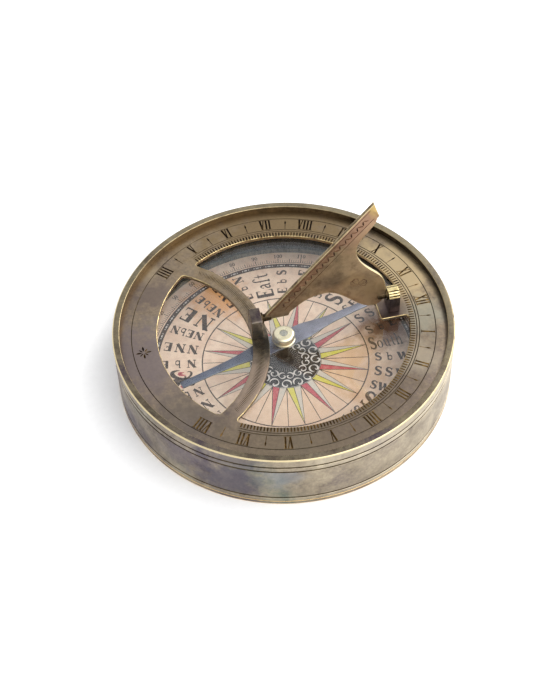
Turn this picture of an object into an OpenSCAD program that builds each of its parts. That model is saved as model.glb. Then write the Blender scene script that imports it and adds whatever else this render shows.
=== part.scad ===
// Sundial compass. A brass case holds a card compass under glass, and a gnomon that
// folds flat stands along the noon line of the hour ring.
// X runs along the noon line towards XII, Z is up, and the origin is the middle of the underside.

/* [Case] */
// Outside diameter of the case
case_d = 114; // [104:1:140]
// Height of the case from the table to the rim
case_h = 23.4; // [22.8:0.2:32]
// Thickness of the case wall
wall_t = 1.6; // [1.2:0.1:2.6]
// How far the rim reaches in over the edge of the dial plate
lip_over = 0.8; // [0.4:0.1:1.4]
// Depth of the dial plate below the rim
dial_recess = 2.3; // [1:0.1:3]
// Size of the rounded-off edges of the case
edge_cut = 0.45; // [0.1:0.05:0.6]
// Depth of the turned grooves
groove_depth = 0.35; // [0.1:0.05:0.6]
// Radius of the tool that turned the grooves
groove_r = 0.45; // [0.3:0.05:0.8]
// Distance of the first upper groove below the rim
upper_groove_drop = 3.6; // [2:0.1:5]
// Width of the bead between the two upper grooves
upper_bead_w = 2.3; // [1.5:0.1:4]
// Width of the bead above the base plate
lower_bead_w = 2.1; // [1:0.1:4]

/* [Base plate] */
// Thickness of the flange of the base plate
base_t = 1.6; // [1:0.1:3]
// Height of the spigot that pushes into the case
spigot_h = 1; // [0.6:0.1:2]

/* [Card] */
// Thickness of the metal disc behind the card
backing_t = 1.3; // [0.8:0.1:2]
// Thickness of the printed card
card_t = 0.3; // [0.2:0.05:0.6]
// Width of the ring that holds the card down
card_ring_w = 5.5; // [3:0.1:8]
// Height of the ring that holds the card down
card_ring_h = 2; // [1:0.1:4]

/* [Glass] */
// Width of the spacer that carries the glass
spacer_w = 4.5; // [2:0.1:7]
// Thickness of the glass
glass_t = 1.4; // [1:0.1:2]
// Thickness of the gasket between glass and dial plate
gasket_t = 0.3; // [0.2:0.05:0.6]
// Width of the gasket
gasket_w = 3; // [2:0.1:5]

/* [Dial plate] */
// Thickness of the dial plate
dial_t = 1.3; // [1.2:0.1:2]
// Width of the hour ring inside the rim
hour_ring_w = 12.4; // [10:0.1:15]
// Width of the curved bridge at the middle
bridge_w = 5.6; // [5:0.1:8]
// Distance of the middle of the bridge from the middle of the dial
bridge_back = 8.5; // [7:0.1:14]
// Radius of the middle line of the bridge
bridge_r = 40; // [36:0.5:48]
// Fillets where bridge and tab meet the ring
fillet_r = 1.1; // [0.6:0.1:2]
// Width of the tab at XII
tab_w = 10.2; // [8:0.1:14]
// How far the tab reaches into the opening
tab_len = 9.7; // [8:0.1:12]
// Corner radius of the tab
tab_corner_r = 0.8; // [0.4:0.1:1.5]
// Distance of the outer border line inside the rim
outer_line_in = 3.8; // [2:0.1:5]
// Distance of the double border line outside the opening
inner_line_out = 2.3; // [1.8:0.1:3]
// Distance between the two lines of the double border
line_gap = 0.9; // [0.6:0.1:1.4]
// Depth and half width of the border lines
line_depth = 0.15; // [0.05:0.05:0.3]

/* [Lugs] */
// Height of the hinge line above the dial plate
hinge_h = 6.1; // [5.4:0.1:9]
// Thickness of both lugs along the noon line
lug_t = 3.8; // [3:0.1:4.5]
// Width of the lug on the bridge
foot_lug_w = 6.4; // [6:0.1:8]
// Height of the lug on the bridge above the hinge line
foot_lug_over = 2.1; // [1.8:0.1:3]
// Corner radius at the top of the lug on the bridge
foot_lug_r = 0.6; // [0.3:0.1:1.5]
// Width of the lug on the tab
toe_lug_w = 6; // [5.8:0.1:8]
// Height of the lug on the tab above the hinge line
toe_lug_over = 2.3; // [1.8:0.1:3]
// Corner radius at the top of the lug on the tab
toe_lug_r = 2.4; // [1:0.1:2.8]
// Distance of the lug on the tab from the tab's inner end
toe_lug_in = 3.2; // [2:0.1:4]

/* [Lug screws] */
// Shank diameter of the lug screws
screw_d = 1.5; // [1.2:0.1:1.8]
// Head diameter of the lug screws
screw_head_d = 2.7; // [2.4:0.1:2.9]
// Depth of the countersunk head
screw_head_h = 0.7; // [0.5:0.05:0.9]
// Length of the lug screws under the dial plate's upper face
screw_reach = 3.2; // [2:0.1:3.4]
// Distance between the two screws of a lug
screw_pitch = 3.4; // [3.2:0.1:4]

/* [Hinge pins] */
// Diameter of the journal that turns in the lug
pin_d = 2; // [1.6:0.1:2.2]
// Diameter of the slotted head that holds the gnomon
pin_head_d = 2.5; // [2.3:0.1:3]
// Length of the slotted head
pin_head_len = 2.6; // [2:0.1:4]
// Depth of the blind bore in the lug on the bridge
foot_bore_depth = 3; // [2:0.1:3.4]
// Room between a lug and the gnomon, for the friction washer
hinge_gap = 0.8; // [0.6:0.05:1.2]
// Thickness of the friction washers
washer_t = 0.5; // [0.3:0.05:0.55]
// Outside diameter of the friction washers
washer_d = 3.8; // [3:0.1:4.4]

/* [Gnomon] */
// Thickness of the gnomon
gnomon_t = 1.3; // [0.8:0.1:1.6]
// Angle of the straight style edge above the dial
style_angle = 49.8; // [44:0.1:53]
// Room between the folded gnomon's tip and the rim
tip_clear = 1.7; // [1:0.1:8]
// Length of the narrow foot of the gnomon
foot_len = 8.4; // [6:0.1:10]
// Distance from the foot to the top of the arch under the gnomon
arch_out = 20.9; // [18:0.1:24]
// Height of the arch above the hinge line
arch_h = 7; // [4:0.1:8.5]
// Distance of the lowest point of the lobe inside its side
lobe_in = 4.5; // [3.5:0.1:6]
// Depth of the lobe below the hinge line
lobe_drop = 3.3; // [2:0.1:4.5]
// Distance of the lobe's shoulder inside its side
shoulder_in = 2.3; // [1.5:0.1:3]
// Height of the lobe's shoulder above the hinge line
shoulder_h = 10.9; // [9:0.1:13]
// Distance of the neck behind the tip, along the noon line
neck_back = 5.3; // [4:0.1:6]
// Distance of the neck below the top of the style edge
neck_drop = 19.6; // [15:0.1:23]

/* [Needle] */
// Length of the needle from end to end
needle_len = 77.6; // [60:0.2:84]
// Width of the needle at the hub
needle_hub_w = 6.8; // [6:0.1:9]
// Length of the broad hub of the needle
needle_hub_len = 21.6; // [14:0.2:28]
// Width of an arm where it leaves the hub
needle_root_w = 4.3; // [3:0.1:5]
// Width of an arm at its cut end
needle_end_w = 2.9; // [1:0.1:3]
// Thickness of the needle
needle_t = 0.5; // [0.3:0.05:0.8]
// Angle of the needle from the noon line
needle_angle = 16.5; // [-90:0.5:90]

/* [Needle cap] */
// Room between the top of the cap and the glass
glass_clear = 1.1; // [0.4:0.1:3]
// Diameter of the turned cap on the needle
cap_d = 7.7; // [6:0.1:9]
// Height of the cap above the needle
cap_h = 3.3; // [3:0.05:3.4]
// Diameter of the spigot that is spun over under the needle
cap_spigot_d = 4.3; // [3.8:0.1:5]
// Diameter of the bearing jewel
jewel_d = 2.8; // [2.2:0.1:3.2]
// Thickness of the bearing jewel
jewel_t = 1.5; // [1.2:0.1:1.8]

/* [Pivot] */
// Diameter of the pivot post
post_d = 3.2; // [2.4:0.1:4]
// Diameter of the foot of the pivot post
post_foot_d = 5.4; // [4.5:0.1:8]
// Height of the foot of the pivot post
post_foot_h = 1.2; // [0.6:0.1:2]
// Distance of the post's top below the needle
post_drop = 1.6; // [1:0.1:3]
// Diameter of the tail riveted into the backing disc
tail_d = 2.4; // [1.6:0.1:3]
// Diameter of the steel pivot pin
pivot_d = 1; // [0.6:0.1:1.2]
// Length of the pivot pin held in the post
pivot_grip = 4; // [2:0.1:5]
// Length of the pivot pin's taper
pivot_taper = 2.6; // [1.5:0.1:3]

/* [Fits] */
// Clearance of what drops into the case bore
drop_fit = 0.1; // [0.05:0.01:0.3]
// Clearance of pressed, riveted and screwed pieces
tight_fit = 0.02; // [0.01:0.01:0.05]
// Running clearance of the hinge journals
run_fit = 0.05; // [0.02:0.01:0.1]
// Clearance of the pivot's point under the jewel
point_gap = 0.05; // [0.02:0.01:0.2]

/* [Hidden] */
$fn = 96;
// How far a cutter reaches past what it cuts
over = 1;

case_r = case_d / 2;
bore_r = case_r - wall_t;
lip_r = bore_r - lip_over;
drop_r = bore_r - drop_fit;
dial_top = case_h - dial_recess;
dial_z = dial_top - dial_t;
glass_z = dial_z - gasket_t - glass_t;
backing_z = base_t + spigot_h;
card_z = backing_z + backing_t;
card_top = card_z + card_t;
spacer_z = card_top + card_ring_h;
opening_r = lip_r - hour_ring_w;
bridge_c = bridge_r + bridge_back;
bridge_out_r = bridge_r + bridge_w / 2;
bridge_in_r = bridge_r - bridge_w / 2;
hinge_z = dial_top + hinge_h;
foot_lug_x = -bridge_c + bridge_in_r + lug_t / 2;
toe_lug_x = opening_r - tab_len + toe_lug_in + lug_t / 2;
foot_face_x = foot_lug_x + lug_t / 2;
toe_face_x = toe_lug_x - lug_t / 2;
foot_x = foot_face_x + hinge_gap;
toe_x = toe_face_x - hinge_gap;
cap_top = glass_z - glass_clear;
needle_top = cap_top - cap_h;
needle_z = needle_top - needle_t;
jewel_z = cap_top - jewel_t;
jewel_seat_r = jewel_d / 2 + tight_fit;
point_z = jewel_z + jewel_t / 2;
post_top = needle_z - post_drop;

// Parts of the turned profiles that hang on the sizes above
seam_cut = 0.25;
cap_waist_in = 0.55;
cap_flange_h = 0.7;
cap_waist_h = 0.4;
cap_round = 1.1;
cap_bore_r = jewel_d / 2 - 0.3;
spin_over_h = 0.3;
// How far a fillet circle crosses the edges that it rounds off
hair = 0.02;
fillet_in = fillet_r - hair;

module disc(r, h, z) {
    translate([0, 0, z]) cylinder(r = r, h = h);
}

module ring(r_out, r_in, h, z) {
    difference() {
        disc(r_out, h, z);
        disc(r_in, h + 2 * over, z - over);
    }
}

module turned_groove(r, z) {
    rotate_extrude()
        translate([r + groove_r - groove_depth, z])
            circle(r = groove_r);
}

// The turned wall of the case, with a lip at the top that stops the dial plate
module case_ring() {
    color("#8c7d5c") difference() {
        rotate_extrude() polygon([
            [bore_r, base_t],
            [case_r - seam_cut, base_t],
            [case_r, base_t + seam_cut],
            [case_r, case_h - edge_cut],
            [case_r - edge_cut, case_h],
            [lip_r + edge_cut / 2, case_h],
            [lip_r, case_h - edge_cut / 2],
            [lip_r, dial_top],
            [bore_r, dial_top]]);
        turned_groove(case_r, case_h - upper_groove_drop);
        turned_groove(case_r, case_h - upper_groove_drop - upper_bead_w);
        turned_groove(case_r, base_t + lower_bead_w);
    }
}

// The base plate, pushed into the case from below on its spigot
module base_plate() {
    color("#8c7d5c") rotate_extrude() polygon([
        [0, 0],
        [case_r - edge_cut, 0],
        [case_r, edge_cut],
        [case_r, base_t - seam_cut],
        [case_r - seam_cut, base_t],
        [bore_r - tight_fit, base_t],
        [bore_r - tight_fit, base_t + spigot_h],
        [0, base_t + spigot_h]]);
}

module card_backing_disc() {
    color("#9a9488") ring(drop_r, tail_d / 2 + tight_fit, backing_t, backing_z);
}

module compass_card() {
    color("#e3cbb4") ring(drop_r, tail_d / 2 + tight_fit, card_t, card_z);
}

module card_ring() {
    color("#7f8683") ring(drop_r, drop_r - card_ring_w, card_ring_h, card_top);
}

module spacer_ring() {
    color("#565c60") ring(drop_r, drop_r - spacer_w, glass_z - spacer_z, spacer_z);
}

module glass() {
    color("#cfe3e6", 0.3) disc(drop_r, glass_t, glass_z);
}

module glass_gasket() {
    color("#3a2c22") ring(drop_r, drop_r - gasket_w, gasket_t, dial_z - gasket_t);
}

// What stays in the corner between two edges that the fillet circle touches
module fillet_web(middle, touch_a, corner, touch_b) {
    reach = 1.3;
    difference() {
        polygon([
            middle,
            middle + (touch_a - middle) * reach,
            middle + (corner - middle) * reach,
            middle + (touch_b - middle) * reach]);
        translate(middle) circle(r = fillet_r);
    }
}

// Where a circle about the dial's middle crosses one about the bridge's centre, on one side
function cross(r_dial, r_bridge, side) =
    let (x = (r_bridge * r_bridge - r_dial * r_dial - bridge_c * bridge_c) / (2 * bridge_c))
    [x, side * sqrt(r_dial * r_dial - x * x)];

// The point on the bridge's circle that lies in the direction of p
function on_bridge(p, r) =
    let (centre = [-bridge_c, 0])
    centre + (p - centre) * r / norm(p - centre);

module bridge_fillet(r_bridge, way, side) {
    middle = cross(opening_r - fillet_in, r_bridge + way * fillet_in, side);
    fillet_web(
        middle,
        middle * opening_r / norm(middle),
        cross(opening_r, r_bridge, side),
        on_bridge(middle, r_bridge));
}

module tab_fillet(side) {
    y = tab_w / 2 + fillet_in;
    middle = [sqrt(pow(opening_r - fillet_in, 2) - y * y), side * y];
    corner = [sqrt(opening_r * opening_r - tab_w * tab_w / 4), side * tab_w / 2];
    fillet_web(
        middle,
        middle * opening_r / norm(middle),
        corner,
        [middle[0], side * tab_w / 2]);
}

module bridge_disc(r) {
    translate([-bridge_c, 0]) circle(r = r);
}

module tab_outline() {
    end_x = opening_r - tab_len;
    translate([end_x + tab_corner_r, -tab_w / 2]) square([tab_len, tab_w]);
    translate([end_x, tab_corner_r - tab_w / 2]) square([tab_len, tab_w - 2 * tab_corner_r]);
    for (side = [-1, 1])
        translate([end_x + tab_corner_r, side * (tab_w / 2 - tab_corner_r)]) circle(r = tab_corner_r);
}

// The large opening, from the bridge to the tab at XII
module hour_opening() {
    difference() {
        circle(r = opening_r);
        bridge_disc(bridge_out_r);
        tab_outline();
        for (side = [-1, 1]) {
            bridge_fillet(bridge_out_r, 1, side);
            tab_fillet(side);
        }
    }
}

// The small opening behind the bridge
module back_opening() {
    difference() {
        intersection() {
            circle(r = opening_r);
            bridge_disc(bridge_in_r);
        }
        for (side = [-1, 1]) bridge_fillet(bridge_in_r, -1, side);
    }
}

// The two screws of a lug stand on either side of the noon line
module at_screws(x) {
    for (side = [-1, 1]) translate([x, side * screw_pitch / 2, dial_z]) children();
}

module screw_shape(gap) {
    cylinder(r = screw_d / 2 + gap, h = dial_t + screw_reach + gap);
    cylinder(r1 = screw_head_d / 2 + gap, r2 = screw_d / 2 + gap, h = screw_head_h);
}

module border_line(r) {
    rotate_extrude() polygon([
        [r - line_depth, dial_top],
        [r, dial_top - line_depth],
        [r + line_depth, dial_top],
        [r, dial_top + over]]);
}

// The hour ring with its curved bridge and its tab, cut from one plate
module dial_plate() {
    color("#9c8c68") difference() {
        translate([0, 0, dial_z]) linear_extrude(height = dial_t) difference() {
            circle(r = drop_r);
            hour_opening();
            back_opening();
        }
        border_line(lip_r - outer_line_in);
        border_line(opening_r + inner_line_out);
        border_line(opening_r + inner_line_out + line_gap);
        at_screws(foot_lug_x) screw_shape(tight_fit);
        at_screws(toe_lug_x) screw_shape(tight_fit);
    }
}

// A lug standing on the dial plate, seen along the noon line
module lug(x, w, top, corner_r) {
    translate([x - lug_t / 2, 0, dial_top])
        rotate([90, 0, 90])
            linear_extrude(height = lug_t) {
                translate([-w / 2, 0]) square([w, top - corner_r]);
                translate([corner_r - w / 2, 0]) square([w - 2 * corner_r, top]);
                for (side = [-1, 1])
                    translate([side * (w / 2 - corner_r), top - corner_r]) circle(r = corner_r);
            }
}

module hinge_bore(x, length) {
    translate([x, 0, hinge_z]) rotate([0, 90, 0]) cylinder(r = pin_d / 2 + run_fit, h = length);
}

module foot_lug() {
    color("#4f473c") difference() {
        lug(foot_lug_x, foot_lug_w, hinge_h + foot_lug_over, foot_lug_r);
        hinge_bore(foot_face_x - foot_bore_depth, foot_bore_depth + over);
        at_screws(foot_lug_x) screw_shape(tight_fit);
    }
}

module toe_lug() {
    color("#c9b26e") difference() {
        lug(toe_lug_x, toe_lug_w, hinge_h + toe_lug_over, toe_lug_r);
        hinge_bore(toe_face_x - over, lug_t + 2 * over);
        at_screws(toe_lug_x) screw_shape(tight_fit);
    }
}

module foot_lug_screws() {
    color("#b8a468") at_screws(foot_lug_x) screw_shape(0);
}

module toe_lug_screws() {
    color("#b8a468") at_screws(toe_lug_x) screw_shape(0);
}

// A hinge pin along X: a journal behind the end of the gnomon and a slotted head over its edge
module slotted_pin(journal_len) {
    difference() {
        union() {
            translate([-journal_len, 0, 0]) rotate([0, 90, 0]) cylinder(r = pin_d / 2, h = journal_len);
            rotate([0, 90, 0]) cylinder(r = pin_head_d / 2, h = pin_head_len);
        }
        translate([0, -gnomon_t / 2, -pin_head_d])
            cube([pin_head_len + over, gnomon_t, 2 * pin_head_d]);
    }
}

module foot_pin() {
    end_room = 0.1;
    color("#c9b26e") translate([foot_x, 0, hinge_z])
        slotted_pin(hinge_gap + foot_bore_depth - end_room);
}

module toe_pin() {
    color("#e3cf8a") translate([toe_x, 0, hinge_z])
        mirror([1, 0, 0]) slotted_pin(hinge_gap + lug_t);
}

module washer(middle_x) {
    translate([middle_x - washer_t / 2, 0, hinge_z]) rotate([0, 90, 0]) difference() {
        cylinder(r = washer_d / 2, h = washer_t);
        translate([0, 0, -over]) cylinder(r = pin_d / 2 + run_fit, h = washer_t + 2 * over);
    }
}

module foot_washer() {
    color("#b08d57") washer(foot_face_x + hinge_gap / 2);
}

module toe_washer() {
    color("#b08d57") washer(toe_face_x - hinge_gap / 2);
}

// Points of a cubic curve from a to d, without its first point
bend_steps = 10;
function bend(a, b, c, d) = [
    for (i = [1 : bend_steps])
        let (t = i / bend_steps, s = 1 - t)
        s * s * s * a + 3 * s * s * t * b + 3 * s * t * t * c + t * t * t * d];

// Length of the style edge with which the folded tip stays inside the rim
style_way = [cos(style_angle), sin(style_angle)];
foot_high = [foot_x, 0.6];
tip_r = lip_r - tip_clear;
style_len = -foot_high * style_way
    + sqrt(pow(foot_high * style_way, 2) + tip_r * tip_r - foot_high * foot_high);

// The gnomon's outline, as [along the noon line, above the hinge line]
foot_low = [foot_x, -0.7];
blade_end = [foot_x + foot_len, -0.4];
blade_nick = blade_end + [0.6, 1.6];
style_top = foot_high + style_len * style_way;
notch = style_top + [1.1, -3.4];
tip = style_top + [1.9, -5.7];
neck = style_top + [-neck_back, -neck_drop];
lobe_side = [toe_x, 3.2];
shoulder = [toe_x - shoulder_in, shoulder_h];
lobe_low = [toe_x - lobe_in, -lobe_drop];
belly = [foot_x + arch_out, arch_h];
gnomon_outline = concat(
    [foot_low, blade_end, blade_nick],
    bend(blade_nick, blade_nick + [3.2, 2.6], belly - [6, 0], belly),
    bend(belly, belly + [6, 0], lobe_low - [5, 0], lobe_low),
    bend(lobe_low, lobe_low + [3, 0], lobe_side - [0, 4], lobe_side),
    bend(lobe_side, lobe_side + [0, 3.6], shoulder + [1.5, -2], shoulder),
    bend(shoulder, shoulder + [-2.5, 3], neck - [0, 6], neck),
    bend(neck, neck + [0, 4.5], tip - [3.2, 3.4], tip),
    [notch, style_top, foot_high]);

// The blade that throws the shadow, sawn from sheet and hinged along the noon line
module gnomon() {
    color("#8f8058") translate([0, gnomon_t / 2, hinge_z])
        rotate([90, 0, 0]) linear_extrude(height = gnomon_t) polygon(gnomon_outline);
}

// The brass post riveted through card and backing disc
module pivot_post() {
    shoulder = 0.6;
    color("#8a7350") difference() {
        rotate_extrude() polygon([
            [0, backing_z],
            [tail_d / 2, backing_z],
            [tail_d / 2, card_top],
            [post_foot_d / 2, card_top],
            [post_foot_d / 2, card_top + post_foot_h / 2],
            [post_d / 2, card_top + post_foot_h],
            [post_d / 2, post_top - shoulder],
            [post_d / 2 - shoulder, post_top],
            [0, post_top]]);
        disc(pivot_d / 2 + tight_fit, pivot_grip + over, post_top - pivot_grip);
    }
}

// The hardened steel point that carries the needle
module pivot_pin() {
    point_r = 0.06;
    tip_z = point_z - point_gap;
    color("#8b8f96") rotate_extrude() polygon([
        [0, post_top - pivot_grip],
        [pivot_d / 2, post_top - pivot_grip],
        [pivot_d / 2, tip_z - pivot_taper],
        [point_r, tip_z],
        [0, tip_z]]);
}

// A quarter of the needle's outline, and the same points turned to the other quarters
needle_quarter = [
    [needle_hub_len / 2, needle_hub_w / 2],
    [(needle_hub_len + needle_hub_w - needle_root_w) / 2, needle_root_w / 2],
    [needle_len / 2, needle_end_w / 2]];

function turned(points, along, across) = [for (p = points) [along * p[0], across * p[1]]];

function backwards(points) = [for (i = [len(points) - 1 : -1 : 0]) points[i]];

module needle() {
    color("#6f7690") translate([0, 0, needle_z]) rotate([0, 0, needle_angle])
        linear_extrude(height = needle_t) difference() {
            polygon(concat(
                needle_quarter,
                backwards(turned(needle_quarter, 1, -1)),
                turned(needle_quarter, -1, -1),
                backwards(turned(needle_quarter, -1, 1))));
            circle(r = cap_spigot_d / 2 + tight_fit);
        }
}

// The turned cap, with the jewel let into its top and its spigot spun over under the needle
module needle_cap() {
    cap_r = cap_d / 2;
    spigot_r = cap_spigot_d / 2;
    waist_z = needle_top + cap_flange_h;
    color("#e6d9a8") difference() {
        rotate_extrude() {
            polygon([
                [cap_bore_r, needle_z - spin_over_h],
                [spigot_r, needle_z - spin_over_h],
                [spigot_r, needle_top],
                [cap_r, needle_top],
                [cap_r, waist_z - seam_cut],
                [cap_r - cap_waist_in, waist_z],
                [cap_r - cap_waist_in, waist_z + cap_waist_h],
                [cap_r, waist_z + cap_waist_h + seam_cut],
                [cap_r, cap_top - cap_round],
                [cap_r - cap_round, cap_top - cap_round],
                [cap_r - cap_round, cap_top],
                [cap_bore_r, cap_top]]);
            translate([cap_r - cap_round, cap_top - cap_round]) circle(r = cap_round);
        }
        disc(jewel_seat_r, jewel_t + over, jewel_z);
    }
}

// The cup bearing that rests on the pivot's point
module cap_jewel() {
    mouth_r = 0.7;
    edge = 0.2;
    color("#a9b0ac") rotate_extrude() polygon([
        [mouth_r, jewel_z],
        [jewel_d / 2, jewel_z],
        [jewel_d / 2, cap_top - edge],
        [jewel_d / 2 - edge, cap_top],
        [0, cap_top],
        [0, point_z]]);
}

case_ring();
base_plate();
card_backing_disc();
compass_card();
card_ring();
spacer_ring();
glass();
glass_gasket();
dial_plate();
foot_lug();
toe_lug();
foot_lug_screws();
toe_lug_screws();
foot_pin();
toe_pin();
foot_washer();
toe_washer();
gnomon();
pivot_post();
pivot_pin();
needle();
needle_cap();
cap_jewel();
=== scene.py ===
import bpy
import math
from mathutils import Matrix, Vector


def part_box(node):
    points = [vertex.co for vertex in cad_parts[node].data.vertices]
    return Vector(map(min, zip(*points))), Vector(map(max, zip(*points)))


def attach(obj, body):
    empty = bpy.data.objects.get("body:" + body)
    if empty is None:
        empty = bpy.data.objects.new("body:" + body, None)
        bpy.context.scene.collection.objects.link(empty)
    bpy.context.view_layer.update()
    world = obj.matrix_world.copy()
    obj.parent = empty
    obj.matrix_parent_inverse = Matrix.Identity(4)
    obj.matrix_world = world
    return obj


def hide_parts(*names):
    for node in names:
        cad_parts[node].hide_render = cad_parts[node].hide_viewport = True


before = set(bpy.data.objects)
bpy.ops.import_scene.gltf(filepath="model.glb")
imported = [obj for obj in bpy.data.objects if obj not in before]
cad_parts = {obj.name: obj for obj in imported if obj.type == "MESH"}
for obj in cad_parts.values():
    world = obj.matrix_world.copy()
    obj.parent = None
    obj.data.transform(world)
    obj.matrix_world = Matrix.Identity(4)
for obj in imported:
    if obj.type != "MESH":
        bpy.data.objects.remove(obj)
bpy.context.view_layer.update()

MM = 0.001


# The view
# The photograph looks down on the dial at about half a right angle, from its afternoon side and a
# little from the side of the bridge. The camera stands as far off as the rings' perspective says.
camera_azimuth = -11.7


def way_to(azimuth, elevation):
    """The way to a place around the object. Azimuth 0 is the dial's afternoon side, and 90 its XII."""
    a, e = math.radians(azimuth), math.radians(elevation)
    return Vector((math.sin(a) * math.cos(e), -math.cos(a) * math.cos(e), math.sin(e)))


def photo_camera():
    elevation = 50.01
    distance = 484.6 * MM
    roll = math.radians(-1.9)
    shift_right, shift_up = -1.405 * MM, 5.644 * MM
    lens_length = 72.107
    back = way_to(camera_azimuth, elevation)
    level = (-back).to_track_quat("-Z", "Y").to_matrix()
    turn = level @ Matrix.Rotation(roll, 3, "Z")
    aim = level @ Vector((shift_right, shift_up, 0))
    bpy.ops.object.camera_add(location=aim + back * distance, rotation=turn.to_euler())
    camera = bpy.context.object
    camera.name = "photo_camera"
    camera.data.lens = lens_length
    camera.data.clip_start = 10 * MM
    bpy.context.scene.camera = camera


photo_camera()


# Base plate
# A turned brass disc that closes the case from below. Its spigot pushes into the bore, and its edge
# shows as the lowest bead of the case. Made on a lathe, then toned dark with the rest of the brass.
def to_linear(colour):
    """Turns an sRGB hex colour such as '#8c7d5c' into linear RGBA."""
    channels = [int(colour[i:i + 2], 16) / 255 for i in (1, 3, 5)]
    return [c / 12.92 if c <= 0.04045 else ((c + 0.055) / 1.055) ** 2.4 for c in channels] + [1]


def add(tree, kind, sockets=(), **settings):
    """Adds a node, sets its properties, and sets or links its inputs, in order or by key."""
    node = tree.nodes.new("ShaderNode" + kind)
    for key, value in settings.items():
        setattr(node, key, value)
    for key, value in sockets.items() if isinstance(sockets, dict) else enumerate(sockets):
        if isinstance(value, bpy.types.NodeSocket):
            tree.links.new(value, node.inputs[key])
        else:
            node.inputs[key].default_value = to_linear(value) if isinstance(value, str) else value
    return node


def new_material(name, **surface):
    """A material with a Principled surface, and the tree and surface that its pattern feeds."""
    material = bpy.data.materials.new(name)
    material.use_nodes = True
    tree = material.node_tree
    shader = tree.nodes["Principled BSDF"]
    for key, value in surface.items():
        shader.inputs[key.replace("_", " ")].default_value = value
    return material, tree, shader


def pattern(tree, size_mm, detail=4, roughness=0.55, stretch=(1, 1, 1), distortion=0):
    """Noise on the piece's own coordinates, whose lumps are about size_mm across."""
    place = add(tree, "TexCoord").outputs["Object"]
    mapped = add(tree, "Mapping", {"Vector": place, "Scale": stretch})
    noise = add(tree, "TexNoise", {
        "Vector": mapped.outputs["Vector"], "Scale": 1 / (size_mm * MM), "Detail": detail,
        "Roughness": roughness, "Distortion": distortion})
    return noise.outputs["Fac"]


def mottled(tree, value, bounds, first, second):
    """The first colour, giving way to the second as a pattern passes from one bound to the other.

    Two more bounds may say how much of the second there is at each."""
    share = add(tree, "MapRange", (value, *bounds)).outputs[0]
    return add(tree, "Mix", {0: share, 6: first, 7: second}, data_type="RGBA").outputs[2]


def feed(tree, shader, colour, roughness=None, relief=None, strength=0, deep_mm=0):
    """Gives a surface its colour, and a roughness and a relief where it has them."""
    tree.links.new(colour, shader.inputs["Base Color"])
    if roughness is not None:
        tree.links.new(roughness, shader.inputs["Roughness"])
    if relief is not None:
        bump = add(tree, "Bump", {"Height": relief, "Strength": strength, "Distance": deep_mm * MM})
        tree.links.new(bump.outputs["Normal"], shader.inputs["Normal"])


def stain(tree, colour_so_far, x, y, z, reach, colour, strength):
    """A patch whose middle lies at x, y, z in mm, fading out raggedly to its reach: a stain in some places,
    painted light and shade in others.
    """
    ragged_mm = 4
    place = add(tree, "TexCoord").outputs["Object"]
    away = add(tree, "VectorMath", {0: place, 1: (x * MM, y * MM, z * MM)}, operation="DISTANCE")
    uneven = 0.3 * reach * MM
    ragged = add(tree, "MapRange", (pattern(tree, ragged_mm), 0.3, 0.7, -uneven, uneven)).outputs[0]
    edge = add(tree, "Math", (away.outputs["Value"], ragged), operation="ADD").outputs[0]
    return mottled(tree, edge, (0.35 * reach * MM, reach * MM, strength, 0), colour_so_far, colour)


def worn_side(tree, share, side_light, side_light_angle):
    """Painted light and shade: takes up to the given share off the toning towards the given angle, so that
    side looks lit, and adds as much on the other side, so it looks shaded.
    """
    a = math.radians(side_light_angle)
    way = add(tree, "VectorMath", {
        0: add(tree, "TexCoord").outputs["Object"], 1: (math.cos(a), math.sin(a), 0)},
        operation="DOT_PRODUCT").outputs["Value"]
    side_shift = add(tree, "MapRange", (way, -50 * MM, 50 * MM, side_light, -side_light)).outputs[0]
    return add(tree, "Math", (share, side_shift), operation="ADD", use_clamp=True).outputs[0]


# Antiqued brass: sheet or turned brass blackened in a liver-of-sulphur bath and rubbed back by hand.
# The bath leaves clouds of brown with plum and sea-green tints, and the rubbing shows warm metal.
# Painted light and shade can make one side paler and the other darker, at an angle counted from the XII.
# Some of the patches laid on are stains, others painted light and shade.
def aged_brass(
        name, metal, clouds, plum, green, cover=(0.3, 0.7), polish=(0.3, 0.46), cloud_mm=11, side_light=0.0,
        side_light_angle=0, flecks=0.2, stains_and_painted_light=()):
    material, tree, shader = new_material(name, Metallic=1.0)
    cloud = pattern(tree, cloud_mm, detail=6, roughness=0.6, distortion=0.4)
    tint = pattern(tree, cloud_mm * 2.3, detail=2)
    fleck = pattern(tree, 1.1, detail=5, roughness=0.7)
    grit = pattern(tree, 0.35, detail=3)
    toned = mottled(tree, tint, (0.5, 0.64), clouds, plum)
    toned = mottled(tree, tint, (0.46, 0.34), toned, green)
    clouded = add(tree, "MapRange", (cloud, *cover)).outputs[0]
    flecked = add(tree, "MapRange", (fleck, 0.35, 0.7, -flecks, flecks)).outputs[0]
    covered = add(tree, "Math", (clouded, flecked), operation="ADD").outputs[0]
    if side_light:
        covered = worn_side(tree, covered, side_light, side_light_angle)
    colour = add(tree, "Mix", {0: covered, 6: metal, 7: toned}, data_type="RGBA").outputs[2]
    for spot in stains_and_painted_light:
        colour = stain(tree, colour, *spot)
    dull = add(tree, "MapRange", (cloud, 0.3, 0.7, *polish)).outputs[0]
    gritty = add(tree, "MapRange", (grit, 0.3, 0.7, -0.03, 0.05)).outputs[0]
    roughness = add(tree, "Math", (dull, gritty), operation="ADD").outputs[0]
    relief = add(tree, "Math", (fleck, grit), operation="ADD").outputs[0]
    feed(tree, shader, colour, roughness, relief, 0.16, 0.06)
    return material
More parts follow.
